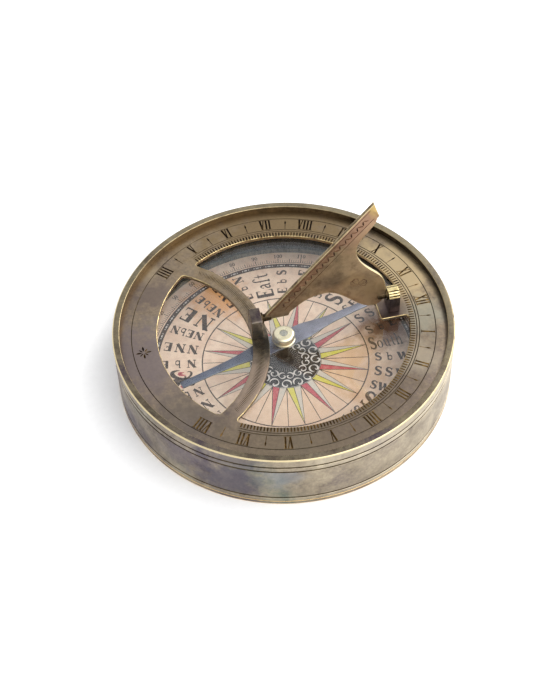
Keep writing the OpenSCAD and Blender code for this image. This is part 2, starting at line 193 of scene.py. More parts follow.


# Rubbed brass: the same metal where hands and cloth have worn an edge bright. Here and there the
# brown of the bath is left, so the line along an edge is uneven.
# Painted light and shade can leave more of the brown on one side than on the other, at an angle counted
# from the XII.
def rubbed_brass(name, bright, brown, left=(0.52, 0.72), polish=0.24, side_light=0.0, side_light_angle=0):
    material, tree, shader = new_material(name, Metallic=1.0)
    wear = pattern(tree, 3.2, detail=5, roughness=0.65)
    grit = pattern(tree, 0.4, detail=2)
    browned = add(tree, "MapRange", (wear, *left)).outputs[0]
    if side_light:
        browned = worn_side(tree, browned, side_light, side_light_angle)
    colour = add(tree, "Mix", {0: browned, 6: bright, 7: brown}, data_type="RGBA").outputs[2]
    roughness = add(tree, "MapRange", (grit, 0.3, 0.7, polish, polish + 0.12)).outputs[0]
    feed(tree, shader, colour, roughness, grit, 0.1, 0.04)
    return material


# Painted light and shade on the case: the right side is paler and the left darker, the blue-grey patch low
# on the front wall is a painted reflection, and the dark patch on the right wall is painted shade.
case_brass = aged_brass(
    "antiqued_brass_case", "#b0a38c", "#6b6056", "#5d5259", "#667067", cover=(0.25, 0.72), side_light=0.26,
    polish=(0.36, 0.48), stains_and_painted_light=(
        (-29, -49, 9, 15, "#54505f", 0.75), (-44, -37, 14, 10, "#6f6670", 0.5),
        (-14, -56, 16, 9, "#8d9298", 0.5), (56, -8, 11, 16, "#5d5749", 0.7)))
# On the beads, the pale patch at the front right is a painted highlight, the dark patch on the right is
# painted shade, and painted light makes the right side paler.
bead_brass = aged_brass(
    "antiqued_brass_bead", "#b5a890", "#72675c", "#62575d", "#6b746c", cover=(0.28, 0.75), side_light=0.26,
    stains_and_painted_light=(
        (-29, -49, 20, 15, "#5c5964", 0.6), (26, -51, 16, 34, "#cbc0ab", 0.45),
        (57, -8, 18, 17, "#5d5749", 0.85)))
# On the rim's top, painted light and shade makes the back right paler and the front left darker.
rim_brass = aged_brass(
    "antiqued_brass_rim", "#968a70", "#594f44", "#554b4e", "#58564a", side_light=0.3, side_light_angle=60)
# The rim's edges are rubbed bright; painted light brightens them further towards the front left and painted
# shade dulls them towards the back right.
edge_brass = rubbed_brass("rubbed_brass_edge_painted_side_light", "#dccba2", "#5c4f3a", polish=0.36, side_light=1.2, side_light_angle=-125)
lip_edge = rubbed_brass("rubbed_brass_lip_edge", "#b5a27c", "#6b5c45", left=(0.5, 0.75))
# On the lip's inner wall, the near-black patch at the back right is the painted shadow under the lip, and
# painted light and shade makes the back left paler and the front right darker.
lip_wall_brass = aged_brass(
    "browned_brass_lip_wall_painted_shadow", "#84745b", "#2f2619", "#4a3e35", "#3d392e", cover=(0.3, 0.75),
    polish=(0.4, 0.55), side_light=0.5, side_light_angle=135, stains_and_painted_light=((52, 16, 22, 44, "#20170d", 0.95),))
groove_brass = aged_brass(
    "bath_blackened_brass_groove", "#5e523e", "#2f2822", "#302729", "#30342f", polish=(0.4, 0.55))


def start_clean():
    if bpy.context.object and bpy.context.object.mode != "OBJECT":
        bpy.ops.object.mode_set(mode="OBJECT")
    bpy.ops.object.select_all(action="DESELECT")


def pick(piece):
    """Makes a piece the only selected and the active one."""
    start_clean()
    piece.select_set(True)
    bpy.context.view_layer.objects.active = piece


def outline_face(name, points, fill="NGON"):
    """A circle primitive with a corner for each point of an outline, each moved to its point."""
    start_clean()
    bpy.ops.mesh.primitive_circle_add(vertices=len(points), radius=1, fill_type=fill)
    piece = bpy.context.object
    piece.name = piece.data.name = name
    for corner, point in zip(piece.data.vertices, points):
        corner.co = point
    return piece


def rounded(points, radius, steps=5):
    """A profile with each corner that has a radius rounded off. points are (r, z) pairs."""
    made = []
    count = len(points)
    for i, point in enumerate(points):
        here = Vector(point)
        cut = radius.get(i, 0)
        if not cut:
            made.append(here)
            continue
        before = (Vector(points[i - 1]) - here).normalized() * cut
        after = (Vector(points[(i + 1) % count]) - here).normalized() * cut
        for step in range(steps + 1):
            t = step / steps
            made.append(here + before * (1 - t) ** 2 + after * t ** 2)
    return made


def open_all(piece):
    """Opens a piece's mesh, with all of it selected."""
    pick(piece)
    bpy.ops.object.mode_set(mode="EDIT")
    bpy.ops.mesh.select_all(action="SELECT")


def close_outwards():
    """Turns the open mesh's faces outwards and closes it."""
    bpy.ops.mesh.select_all(action="SELECT")
    bpy.ops.mesh.normals_make_consistent(inside=False)
    bpy.ops.object.mode_set(mode="OBJECT")


def smooth(piece):
    """Shades a piece smooth, apart from its sharp edges."""
    pick(piece)
    bpy.ops.object.shade_smooth_by_angle(angle=math.radians(32))


def turned(name, profile, steps=288):
    """Spins a closed (r, z) profile in mm about the middle of the dial."""
    piece = outline_face(name, [(r * MM, 0, z * MM) for r, z in profile], fill="NOTHING")
    open_all(piece)
    bpy.ops.mesh.spin(steps=steps, angle=math.tau, center=(0, 0, 0), axis=(0, 0, 1))
    bpy.ops.mesh.select_all(action="SELECT")
    bpy.ops.mesh.remove_doubles(threshold=0.001 * MM)
    bpy.ops.mesh.delete_loose()
    close_outwards()
    smooth(piece)
    return piece


def coat(piece, *materials):
    """Gives a piece a slot for each material."""
    for material in materials:
        piece.data.materials.append(material)


def finish_in(piece, main, *others):
    """Gives a piece its finishes. Each after the main one is (material, test of a face's r, z in mm)."""
    coat(piece, main, *(material for material, covers in others))
    for slot, (material, covers) in enumerate(others, 1):
        for face in piece.data.polygons:
            middle = face.center / MM
            if covers(math.hypot(middle.x, middle.y), middle.z):
                face.material_index = slot


def settle(piece, body, slot, *nodes):
    """Makes a piece ride on its body, in place of the CAD nodes that it stands for."""
    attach(piece, body)
    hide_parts(*nodes)


case_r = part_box("case_ring")[1].x / MM
base_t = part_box("case_ring")[0].z / MM
spigot_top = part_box("base_plate")[1].z / MM
bore_r = 55.4
edge_r = 0.45
seam = 0.25
base_plate = turned("base_plate_turned", rounded([
    (0, 0), (case_r, 0), (case_r, base_t), (case_r - seam, base_t), (bore_r - 0.02, base_t),
    (bore_r - 0.02, spigot_top), (0, spigot_top)], {1: edge_r, 2: seam}))
foot_brass = rubbed_brass("rubbed_brass_foot_edge", "#e0c08c", "#8a6c47")
finish_in(
    base_plate, case_brass,
    (foot_brass, lambda r, z: r > case_r - 0.5 and (z < 0.5 or z > base_t - 0.2)))
settle(base_plate, "case", "case_brass", "base_plate")


# Case ring
# The turned wall of the case, with two grooves and a bead under the rim and one groove above the
# base plate. Its lip stops the dial plate. The rim's edges are rubbed bright by years of handling.
case_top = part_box("case_ring")[1].z / MM
dial_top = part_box("dial_plate")[1].z / MM
lip_r = 54.6
rim_low, rim_round, lip_round = 22, 0.55, 0.3
groove_r = 0.45
groove_middle = case_r + 0.1
groove_reach = 0.4
foot_groove, bead_groove, rim_groove = 3.7, 17.5, 19.8
groove_heights = (foot_groove, bead_groove, rim_groove)


def groove_profile(z):
    """The round-nosed cut of a groove, from its lower to its upper edge."""
    half = math.acos((groove_middle - case_r) / groove_r)
    steps = 10
    return [
        (groove_middle - groove_r * math.cos(half * (2 * i / steps - 1)),
         z + groove_r * math.sin(half * (2 * i / steps - 1)))
        for i in range(steps + 1)]


case_profile = [(bore_r, base_t), (case_r - seam, base_t), (case_r, base_t + seam)]
for height in groove_heights:
    case_profile += groove_profile(height)
case_profile += rounded(
    [(case_r, rim_low), (case_r, case_top), (lip_r, case_top), (lip_r, dial_top)],
    {1: rim_round, 2: lip_round}, 7)
case_profile.append((bore_r, dial_top))
case_ring = turned("case_ring_turned", case_profile)


def on_bead(z):
    return (
        z < foot_groove - groove_reach or z > rim_groove + groove_reach
        or bead_groove + groove_reach < z < rim_groove - groove_reach)


finish_in(
    case_ring, case_brass,
    (bead_brass, lambda r, z: r > case_r - 0.3 and on_bead(z)),
    (rim_brass, lambda r, z: z > case_top - 0.4),
    (edge_brass, lambda r, z: r > case_r - 0.42 and z > case_top - 0.45),
    (lip_edge, lambda r, z: r < lip_r + 0.14 and case_top - 0.14 < z),
    (lip_wall_brass, lambda r, z: r < lip_r + 0.02 and z < case_top - 0.4),
    (groove_brass, lambda r, z: r < case_r - 0.06 and any(
        abs(z - height) < groove_reach for height in groove_heights)),
    (groove_brass, lambda r, z: r < bore_r + 0.3 and z < dial_top - 0.1))
settle(case_ring, "case", "case_brass", "case_ring")


# Card backing disc
# A spun aluminium disc that lies on the base plate's spigot, stiffens the card and holds the pivot
# post's rivet. Bare metal, brushed round and round.
def brushed_metal(name, light, dark, roughness):
    """Bare metal with a fine brushed grain, which dulls it and streaks its reflections."""
    material, tree, shader = new_material(name, Metallic=1.0)
    grain = pattern(tree, 0.5, detail=3, stretch=(1, 1, 0.12))
    patch = pattern(tree, 7, detail=3)
    streaks = add(tree, "Math", (grain, patch), operation="MULTIPLY").outputs[0]
    colour = mottled(tree, streaks, (0.15, 0.4), light, dark)
    dull = add(tree, "MapRange", (grain, 0.3, 0.7, roughness - 0.06, roughness + 0.1)).outputs[0]
    feed(tree, shader, colour, dull, grain, 0.12, 0.03)
    return material


def refinish(node, material):
    """Puts a new material in the slot of a CAD node whose shape stays."""
    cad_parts[node].material_slots[0].material = material


refinish("card_backing_disc", brushed_metal("brushed_aluminium_backing", "#9e9c96", "#787671", 0.4))


# Compass card
# Printed paper glued to the backing disc, hand-coloured in red and yellow and gone pink and brown
# with age. It is laid by the old rule of 32 points, with north marked by a lily.
card_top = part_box("compass_card")[1].z / MM
paper, tree, shader = new_material("aged_printed_paper", Roughness=0.75, Specular_IOR_Level=0.25)
foxing = pattern(tree, 9, detail=6, roughness=0.6)
fibre = pattern(tree, 0.35, roughness=0.7)
mottle = pattern(tree, 2.2)
sheet_colour = mottled(tree, foxing, (0.35, 0.68), "#e8cfb8", "#dab89f")
sheet_colour = mottled(tree, mottle, (0.45, 0.75, 0, 0.5), sheet_colour, "#bfa18f")
sheet_colour = mottled(tree, fibre, (0.5, 0.8, 0, 0.35), sheet_colour, "#ad8f77")
# Patches on the paper: a dark brown one near the right edge of the opening beside the tab, an orange one at
# the back left, a broad darker one towards the front that is painted shade, and a brown one right of the
# middle.
for x, y, reach, colour, strength in (
        (37.5, 4, 12, "#6e4528", 0.95), (-17, 33, 13, "#d2965c", 0.9), (4, -34, 42, "#c9a88a", 0.62),
        (22, -9, 15, "#c49c74", 0.6)):
    sheet_colour = stain(tree, sheet_colour, x, y, card_top, reach, colour, strength)
feed(tree, shader, sheet_colour, relief=fibre, strength=0.2, deep_mm=0.02)
refinish("compass_card", paper)

POINT = 11.25

# The print sits a little off the middle of its sheet, and the card ring covers what lies outside it
PRINT_OFF = Vector((0.1, -1.3))
TRIM_R = 49.78


def bearing(k):
    """The direction of the k-th point, counted clockwise from north, as an angle from the noon line."""
    return math.radians(180 - POINT * k)


class Print:
    """One ink of the card: flat strokes cut from one long ribbon, then given the ink's thickness."""

    def __init__(self, name):
        self.name = name
        self.strokes = []

    def strip(self, lefts, rights):
        """A band between two rows of points in mm from the middle of the print."""
        self.strokes.append([
            tuple(Vector(p) + PRINT_OFF for p in pair) for pair in zip(lefts, rights)])

    def pen(self, points, widths, place=lambda x, y: Vector((x, y))):
        """A pen stroke, drawn in its own units and put where place says."""
        self.strip(*[[place(p.x, p.y) for p in side] for side in sides(points, widths)])

    def done(self, material, thickness):
        """Lays the ribbon's rungs along the strokes and cuts it between them and under the card ring."""
        rungs = [rung for stroke in self.strokes for rung in stroke]
        ends, count = set(), 0
        for strokes in self.strokes:
            count += len(strokes)
            ends.add(count - 1)
        start_clean()
        bpy.ops.mesh.primitive_grid_add(x_subdivisions=len(rungs) - 1, y_subdivisions=1, size=2)
        piece = bpy.context.object
        piece.name = piece.data.name = self.name
        corners = sorted(piece.data.vertices, key=lambda v: (round(v.co.x * 1e6), -v.co.y))
        rung_of = {}
        for i, (left, right) in enumerate(rungs):
            for corner, point in ((corners[2 * i], left), (corners[2 * i + 1], right)):
                rung_of[corner.index] = i
                reach = min(1, TRIM_R / max(point.length, 1))
                corner.co = (point.x * reach * MM, point.y * reach * MM, card_top * MM)
        hidden = {
            i for i, rung in enumerate(rungs) if min(point.length for point in rung) > TRIM_R - 0.05}
        for face in piece.data.polygons:
            around = [rung_of[corner] for corner in face.vertices]
            face.select = min(around) in ends or (min(around) in hidden and max(around) in hidden)
        for part in (*piece.data.edges, *piece.data.vertices):
            part.select = False
        bpy.context.tool_settings.mesh_select_mode = (False, False, True)
        bpy.ops.object.mode_set(mode="EDIT")
        bpy.ops.mesh.delete(type="FACE")
        bpy.ops.mesh.select_mode(type="VERT")
        bpy.ops.mesh.select_all(action="SELECT")
        bpy.ops.mesh.remove_doubles(threshold=0.0005 * MM)
        bpy.ops.mesh.delete_loose()
        bpy.ops.object.mode_set(mode="OBJECT")
        for face in piece.data.polygons:
            if face.normal.z < 0:
                face.flip()
        body = piece.modifiers.new("ink", "SOLIDIFY")
        body.thickness = thickness * MM
        body.offset = 1
        bpy.ops.object.modifier_apply(modifier="ink")
        coat(piece, material)
        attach(piece, "case")


def sides(points, widths):
    """The left and right side of a pen stroke of changing width along a row of points."""
    lefts, rights = [], []
    for i, point in enumerate(points):
        before, after = Vector(points[max(i - 1, 0)]), Vector(points[min(i + 1, len(points) - 1)])
        way = (after - before).normalized()
        across = Vector((-way.y, way.x)) * widths[i] / 2
        lefts.append(Vector(point) + across)
        rights.append(Vector(point) - across)
    return lefts, rights


def bent(*points, steps=8):
    """Points of a row of cubic curves. Each starts where the last one ends and is drawn by two more."""
    made = [Vector(points[0])]
    for k in range(0, len(points) - 1, 3):
        a, b, c, d = (Vector(point) for point in points[k:k + 4])
        for i in range(1, steps + 1):
            t = i / steps
            s = 1 - t
            made.append(a * s ** 3 + b * 3 * s * s * t + c * 3 * s * t * t + d * t ** 3)
    return made


def oval(x, y, across, up, first=0, last=360, steps=20):
    """Points of an oval arc, with its angles in degrees."""
    angles = [math.radians(first + (last - first) * i / steps) for i in range(steps + 1)]
    return [Vector((x + across * math.cos(a), y + up * math.sin(a))) for a in angles]


HAIR, STEM = 0.105, 0.29


def line(a, b, width=HAIR, end_width=None):
    return ([Vector(a), Vector(b)], [width, width if end_width is None else end_width])


def stroke(points, thin, thick, cycles=0.5):
    """A stroke that swells from thin to thick and back, once in half a cycle."""
    last = len(points) - 1
    return (points, [
        thin + (thick - thin) * abs(math.sin(math.pi * 2 * cycles * i / last)) for i in range(last + 1)])


def foot(x, y, half=0.15):
    return line((x - half, y), (x + half, y), HAIR)


# Letters of the card in the old roman style, as pen strokes on a letter one unit high.
s_curve = bent(
    (0.58, 0.80), (0.52, 1.06), (0.10, 1.06), (0.13, 0.74), (0.17, 0.50), (0.60, 0.54), (0.61, 0.27),
    (0.60, -0.07), (0.15, -0.07), (0.09, 0.22))
LETTERS = {
    "N": (0.98, [
        line((0.17, 0), (0.17, 1), 0.08), line((0.13, 1), (0.82, 0), STEM),
        line((0.81, 0.02), (0.81, 1), 0.08), foot(0.11, 0.97), foot(0.17, 0.03), foot(0.81, 0.97)]),
    "E": (0.84, [
        line((0.22, 0), (0.22, 1), STEM), line((0.1, 0.97), (0.72, 0.97)), line((0.22, 0.51), (0.54, 0.51)),
        line((0.1, 0.03), (0.76, 0.03)), line((0.71, 1), (0.72, 0.74), 0.1, 0.02),
        line((0.74, 0), (0.78, 0.28), 0.11, 0.02), line((0.54, 0.38), (0.54, 0.64), 0.05)]),
    "S": (0.72, [
        (s_curve, [HAIR + 0.15 * math.sin(math.pi * i / (len(s_curve) - 1)) ** 1.6
                   for i in range(len(s_curve))]),
        line((0.6, 1), (0.59, 0.7), 0.08, 0.03), line((0.09, 0), (0.1, 0.32), 0.08, 0.03)]),
    "W": (1.3, [
        line((0.1, 1), (0.39, 0), STEM), line((0.39, 0), (0.64, 0.98), HAIR),
        line((0.58, 1), (0.9, 0), STEM), line((0.9, 0), (1.18, 1), HAIR),
        foot(0.1, 0.97), foot(0.6, 0.97, 0.11), foot(1.17, 0.97)]),
    "b": (0.64, [
        line((0.15, 0), (0.15, 1), 0.12), foot(0.09, 0.97, 0.08),
        stroke(oval(0.35, 0.31, 0.2, 0.28), 0.06, 0.15, 1)]),
    "o": (0.62, [stroke(oval(0.31, 0.31, 0.22, 0.29, 90, 450), 0.05, 0.16, 1)]),
    "u": (0.72, [
        (bent((0.17, 0.6), (0.17, 0.05), (0.2, -0.05), (0.5, 0.14)), [0.12] * 5 + [0.1, 0.08, 0.06, 0.05]),
        line((0.52, 0.6), (0.52, 0), 0.12), foot(0.12, 0.59, 0.09), foot(0.47, 0.59, 0.09),
        foot(0.56, 0.03, 0.08)]),
    "t": (0.46, [
        (bent((0.2, 0.86), (0.2, 0.2), (0.17, -0.06), (0.4, 0.08)),
         [0.05, 0.1] + [0.13] * 4 + [0.1, 0.07, 0.04]),
        line((0.04, 0.6), (0.38, 0.6), 0.06)]),
    "h": (0.7, [
        line((0.15, 0), (0.15, 1), 0.12), foot(0.09, 0.97, 0.08), foot(0.15, 0.03, 0.12),
        (bent((0.15, 0.42), (0.3, 0.7), (0.52, 0.7), (0.52, 0.4)), [0.05] * 4 + [0.08, 0.1] + [0.12] * 3),
        line((0.52, 0.42), (0.52, 0), 0.12), foot(0.52, 0.03, 0.12)]),
    "a": (0.6, [
        (bent((0.1, 0.47), (0.12, 0.68), (0.42, 0.68), (0.41, 0.42)), [0.1, 0.06, 0.05, 0.06] + [0.12] * 5),
        (bent((0.41, 0.44), (0.41, 0.2), (0.41, 0.02), (0.56, 0.04)), [0.12] * 6 + [0.1, 0.07, 0.04]),
        stroke(bent((0.41, 0.37), (0, 0.34), (0, -0.08), (0.41, 0.12), steps=12), 0.05, 0.13)]),
    "f": (0.42, [
        line((0.17, 0), (0.17, 0.78), 0.12), foot(0.17, 0.03, 0.12), line((0.04, 0.56), (0.17, 0.56), 0.05),
        (bent((0.17, 0.76), (0.17, 1.06), (0.42, 1.08), (0.46, 0.86)), [0.12, 0.12, 0.11, 0.09] + [0.07] * 3
         + [0.1, 0.12])]),
    "e": (0.58, [
        line((0.1, 0.36), (0.5, 0.36), 0.05),
        stroke(oval(0.3, 0.31, 0.21, 0.29, 15, 325), 0.05, 0.16, 0.5)]),
    " ": (0.3, []),
}
# East and West are written with the old long s, whose bar is on its left only. The f above is drawn so.
WORDS = {8: "Eaft", 16: "South", 24: "Weft"}
NAMES = [
    "", "NbE", "NNE", "NEbN", "NE", "NEbE", "ENE", "EbN", "", "EbS", "ESE", "SEbE", "SE", "SEbS", "SSE",
    "SbE", "", "SbW", "SSW", "SWbS", "SW", "SWbW", "WSW", "WbS", "", "WbN", "WNW", "NWbW", "NW", "NWbN",
    "NNW", "NbW"]
name_start, name_end = 30.6, 42.7


def letter_height(k):
    """Cap height in mm: tallest for the four written winds, and smallest for the by-points."""
    if k % 8 == 0:
        return 5.9 if k == 8 else 5.2
    if k % 4 == 0:
        return 5.9
    return 3.7 if k % 2 == 0 else 3.3


def lay_letters(ink, text, height, start, end, place):
    """Spaces the letters of a name from start to end, place turning (along, up) into the card's x, y."""
    squeeze = min(1, (end - start) / (1.06 * height * sum(LETTERS[c][0] for c in text) or 1))
    lengths = [LETTERS[c][0] * height * squeeze for c in text]
    gap = min((end - start - sum(lengths)) / max(len(text) - 1, 1), 0.62 * height)
    along = start + (end - start - sum(lengths) - gap * (len(text) - 1)) * 0.35
    for c, length in zip(text, lengths):
        for points, widths in LETTERS[c][1]:
            ink.pen(points, widths, lambda x, y: place(
                along + x * height * squeeze, (y - 0.5) * height))
        along += length + gap


def at(angle, r=1):
    """The point at an angle from the noon line and r from the middle."""
    return Vector((r * math.cos(angle), r * math.sin(angle)))


def radial(angle):
    """A name's place: letters march outwards, with their tops to the left of the outward way."""
    out = at(angle)
    left = Vector((-out.y, out.x))
    return lambda along, up: out * along + left * up


def upright(angle, r):
    """A figure's place: it stands on the ring at r with its top outwards."""
    out = at(angle)
    right = Vector((out.y, -out.x))
    return lambda along, up: out * (r + up) + right * along


def ring_points(r, first=0, last=360, steps=180):
    return oval(0, 0, r, r, first, last, steps)


def card_ring_line(ink, r, width):
    ink.strip(ring_points(r - width / 2), ring_points(r + width / 2))


black, dense, red, yellow, grey, white = (
    Print("card_ink_" + colour) for colour in ("black", "dense_black", "red", "yellow", "grey", "white"))
medallion_r, ray_r, name_ring_r = 12.3, 28.4, 43.6
band_r, scale_r = 45.4, 46.0

# Sixteen rays, each half grey and half coloured, yellow on the eight winds and red between them
for k in range(0, 32, 2):
    tip, middle = at(bearing(k), ray_r), at(bearing(k), medallion_r)
    clockwise, other = at(bearing(k + 1), medallion_r), at(bearing(k - 1), medallion_r)
    (yellow if k % 4 == 0 else red).strip([middle, tip], [clockwise, tip])
    grey.strip([other, tip], [middle, tip])
    for end, width in ((middle, 0.22), (clockwise, 0.26), (other, 0.18)):
        black.pen([end, tip], [width, width * 0.7])
for k in range(1, 32, 2):
    black.pen([at(bearing(k), medallion_r), at(bearing(k), ray_r)], [0.28, 0.22])
card_ring_line(black, ray_r + 0.1, 0.42)
for k, text in enumerate(NAMES):
    word = k in WORDS
    lay_letters(
        black, WORDS.get(k, text), letter_height(k), name_start - word, name_end - 1.3 * word,
        radial(bearing(k)))

# The lily that marks north, with its middle petal pointing out
lily = [
    ([(0, -0.05), (0, 0.3), (0, 0.55), (0, 0.8), (0, 1.02)], [0.08, 0.17, 0.27, 0.16, 0]),
    ([(-0.17, 0.2), (0.17, 0.2)], [0.08, 0.08]),
    ([(0, -0.22), (0, -0.1), (0, 0.1)], [0, 0.14, 0.05])]
for way in (-1, 1):
    petal = bent((way * 0.05, 0.2), (way * 0.1, 0.75), (way * 0.62, 0.86), (way * 0.5, 0.36), steps=12)
    lily.append((petal, [0.05, 0.08, 0.11, 0.14, 0.16, 0.18, 0.19, 0.18, 0.16, 0.13, 0.1, 0.07, 0.03]))
    lily.append((bent((way * 0.05, 0.16), (way * 0.1, -0.1), (way * 0.4, -0.16), (way * 0.36, 0.08)),
                 [0.04, 0.07, 0.09, 0.1, 0.1, 0.09, 0.07, 0.05, 0.02]))
lily_place = upright(bearing(0), 33)
lily_mm = 8.6


def on_lily(x, y):
    return lily_place(x * lily_mm, y * lily_mm)


for points, widths in lily:
    black.pen(points, widths, on_lily)
for way in (-1, 1):
    blush = bent((way * 0.2, 0.16), (way * 0.28, 0.46), (way * 0.4, 0.5), (way * 0.36, 0.2), steps=6)
    red.pen(*stroke(blush, 0.02, 0.16), on_lily)

# The dark ring outside the names, with its white dashes, and the scale of degrees
black.strip(ring_points(name_ring_r), ring_points(band_r))
for k in range(64):
    middle = 360 * k / 64
    for offset, half in ((-1.5, 0.22), (0, 0.7), (1.5, 0.22)):
        r = (name_ring_r + band_r) / 2
        first, last = middle + offset - half, middle + offset + half
        white.strip(ring_points(r - 0.24, first, last, 3), ring_points(r + 0.24, first, last, 3))
for degree in range(360):
    angle = math.radians(degree)
    length = 2.0 if degree % 10 == 0 else 1.6 if degree % 5 == 0 else 1.15
    width = 0.22 if degree % 5 == 0 else 0.13
    black.pen([at(angle, scale_r), at(angle, scale_r + length)], [width, width])
card_ring_line(black, scale_r, 0.16)

# Figures of the scale, ten degrees apart from north, on a figure one unit high
FIGURES = {
    "0": [stroke(oval(0.3, 0.5, 0.2, 0.45, 90, 450, 16), 0.06, 0.15, 1)],
    "1": [line((0.3, 0), (0.3, 1), 0.15), line((0.12, 0.82), (0.3, 0.98), 0.05), foot(0.3, 0.03)],
    "2": [stroke(bent((0.1, 0.72), (0.16, 1.1), (0.62, 1.04), (0.48, 0.6), (0.4, 0.35), (0.14, 0.2),
                      (0.1, 0.05)), 0.06, 0.16), line((0.1, 0.05), (0.54, 0.06), 0.1)],
    "3": [stroke(bent((0.12, 0.82), (0.2, 1.06), (0.66, 1.0), (0.28, 0.54)), 0.06, 0.15),
          stroke(bent((0.28, 0.54), (0.7, 0.5), (0.56, -0.1), (0.1, 0.1)), 0.06, 0.16)],
    "4": [line((0.42, 0), (0.42, 1), 0.13), line((0.42, 0.98), (0.08, 0.3), 0.05),
          line((0.08, 0.3), (0.58, 0.3), 0.06)],
    "5": [line((0.2, 0.97), (0.54, 0.97), 0.08), line((0.2, 0.97), (0.16, 0.55), 0.06),
          stroke(bent((0.16, 0.55), (0.66, 0.74), (0.62, -0.12), (0.1, 0.08), steps=10), 0.06, 0.16)],
    "6": [stroke(oval(0.31, 0.31, 0.2, 0.29, 90, 450, 16), 0.06, 0.14, 1),
          stroke(bent((0.12, 0.36), (0.12, 0.8), (0.3, 0.98), (0.52, 0.96)), 0.1, 0.12)],
    "7": [line((0.1, 0.94), (0.54, 0.94), 0.1), line((0.54, 0.94), (0.24, 0), 0.07, 0.15)],
    "8": [stroke(oval(0.31, 0.27, 0.2, 0.25, 90, 450, 16), 0.06, 0.13, 1),
          stroke(oval(0.31, 0.76, 0.16, 0.21, 90, 450, 16), 0.06, 0.11, 1)],
    "9": [stroke(oval(0.29, 0.69, 0.2, 0.29, 90, 450, 16), 0.06, 0.14, 1),
          stroke(bent((0.48, 0.64), (0.48, 0.2), (0.3, 0.02), (0.08, 0.04)), 0.1, 0.12)]}
figure_r, figure_h = 48.3, 1.75
figure_w = 0.6 * figure_h
for degree in range(10, 370, 10):
    place = upright(math.radians(180 - degree), figure_r)
    text = str(degree)
    along = -figure_w * len(text) / 2
    for c in text:
        for points, widths in FIGURES[c]:
            black.pen(points, widths, lambda x, y: place(along + x * figure_h, y * figure_h))
        along += figure_w

# The dark medallion in the middle, with its wreath of white scrolls
dense.strip(ring_points(1.4), ring_points(medallion_r))
SCROLLS = 16
c_scroll = bent(
    (1.3, -0.2), (1.25, -1.0), (0.1, -1.5), (-0.6, -1.0), (-1.4, -0.4), (-1.2, 1.1), (-0.1, 1.15),
    steps=6) + bent((-0.1, 1.15), (0.8, 1.2), (0.9, 0.2), (0.2, 0.3), steps=5)[1:]
for i in range(SCROLLS):
    tilt = 1 if i % 2 == 0 else -1
    for r, size, offset, lean in ((10.3, 1.25, 0.5, 35), (7.0, 1.0, 0, -50)):
        place = upright(math.tau * (i + offset) / SCROLLS, r)
        turn = Matrix.Rotation(math.radians(lean * tilt), 2)
        curl = [turn @ Vector((p.x * tilt, p.y)) * size for p in c_scroll]
        white.pen(*stroke(curl, 0.12, 0.5 * size, 1), place)
FINE_RAYS = 40
for i in range(FINE_RAYS):
    angle = math.tau * i / FINE_RAYS
    white.pen([at(angle, 2.9), at(angle, 5.3)], [0.02, 0.06])
card_ring_line(white, medallion_r - 0.25, 0.12)


def printing_ink(name, colour, thin_colour):
    """Ink or wash on paper: thinner and paler in patches, where the paper took less of it."""
    material, tree, shader = new_material(name, Roughness=0.6, Specular_IOR_Level=0.3)
    thin = pattern(tree, 1.6, detail=5, roughness=0.7)
    feed(tree, shader, mottled(tree, thin, (0.42, 0.78), colour, thin_colour))
    return material


yellow.done(printing_ink("wash_yellow", "#c4b94d", "#cec083"), 0.01)
red.done(printing_ink("wash_red", "#ab3e4a", "#be7b73"), 0.01)
grey.done(printing_ink("wash_grey", "#bbb2a5", "#cdb9a6"), 0.01)
black.done(printing_ink("printing_ink_black", "#33261f", "#644d3d"), 0.02)
dense.done(printing_ink("printing_ink_dense_black", "#1a191a", "#2c2826"), 0.02)
white.done(printing_ink("bare_paper_in_print", "#cfc8c1", "#ada59e"), 0.03)


# Card ring and spacer ring
# Two aluminium rings that drop into the bore: the lower holds the card down, and the upper, toned
# dark and painted nearly black as shade under the dial plate, carries the glass. Both show through
# the glass as the inner wall of the case.
refinish("card_ring", brushed_metal("brushed_aluminium_card_ring", "#8a9291", "#5c6565", 0.34))
refinish("spacer_ring", brushed_metal("dark_aluminium_spacer_painted_shade", "#4a5157", "#2a2f34", 0.4))


# Pivot post and pivot pin
# A turned brass post riveted through card and disc, with a hardened steel point pressed into it.
# The point carries the whole weight of the needle.
# The post is coloured nearly black: painted shade from the cap and needle above, over its brass.
refinish("pivot_post", aged_brass("brass_post_painted_shade", "#2c2a27", "#171614", "#191618", "#171817"))
refinish("pivot_pin", brushed_metal("ground_steel_pivot", "#7b7e83", "#56595f", 0.22))


# Needle
# A flat bar needle sawn from steel strip, blued by heat over a flame and a little dulled since. Its
# broad hub is riveted to the cap, and each arm is filed away from it in one hollow curve.
def cad_copy(name, node, *materials):
    """A copy of a CAD node's mesh with whole flat faces, in finishes of its own."""
    start_clean()
    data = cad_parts[node].data.copy()
    data.materials.clear()
    piece = bpy.data.objects.new(name, data)
    data.name = name
    bpy.context.scene.collection.objects.link(piece)
    pick(piece)
    bpy.ops.mesh.customdata_custom_splitnormals_clear()
    open_all(piece)
    bpy.ops.mesh.remove_doubles(threshold=0.001 * MM)
    bpy.ops.mesh.dissolve_limited(angle_limit=math.radians(0.5))
    bpy.ops.object.mode_set(mode="OBJECT")
    coat(piece, *materials)
    return piece


def break_edges(piece, width, segments=2, sharp_degrees=40):
    """Breaks a piece's edges with a small bevel, whose faces take slot 1."""
    pick(piece)
    bevel = piece.modifiers.new("edges", "BEVEL")
    bevel.width = width * MM
    bevel.segments = segments
    bevel.limit_method = "ANGLE"
    bevel.angle_limit = math.radians(sharp_degrees)
    bevel.material = 1
    bpy.ops.object.modifier_apply(modifier="edges")
    smooth(piece)


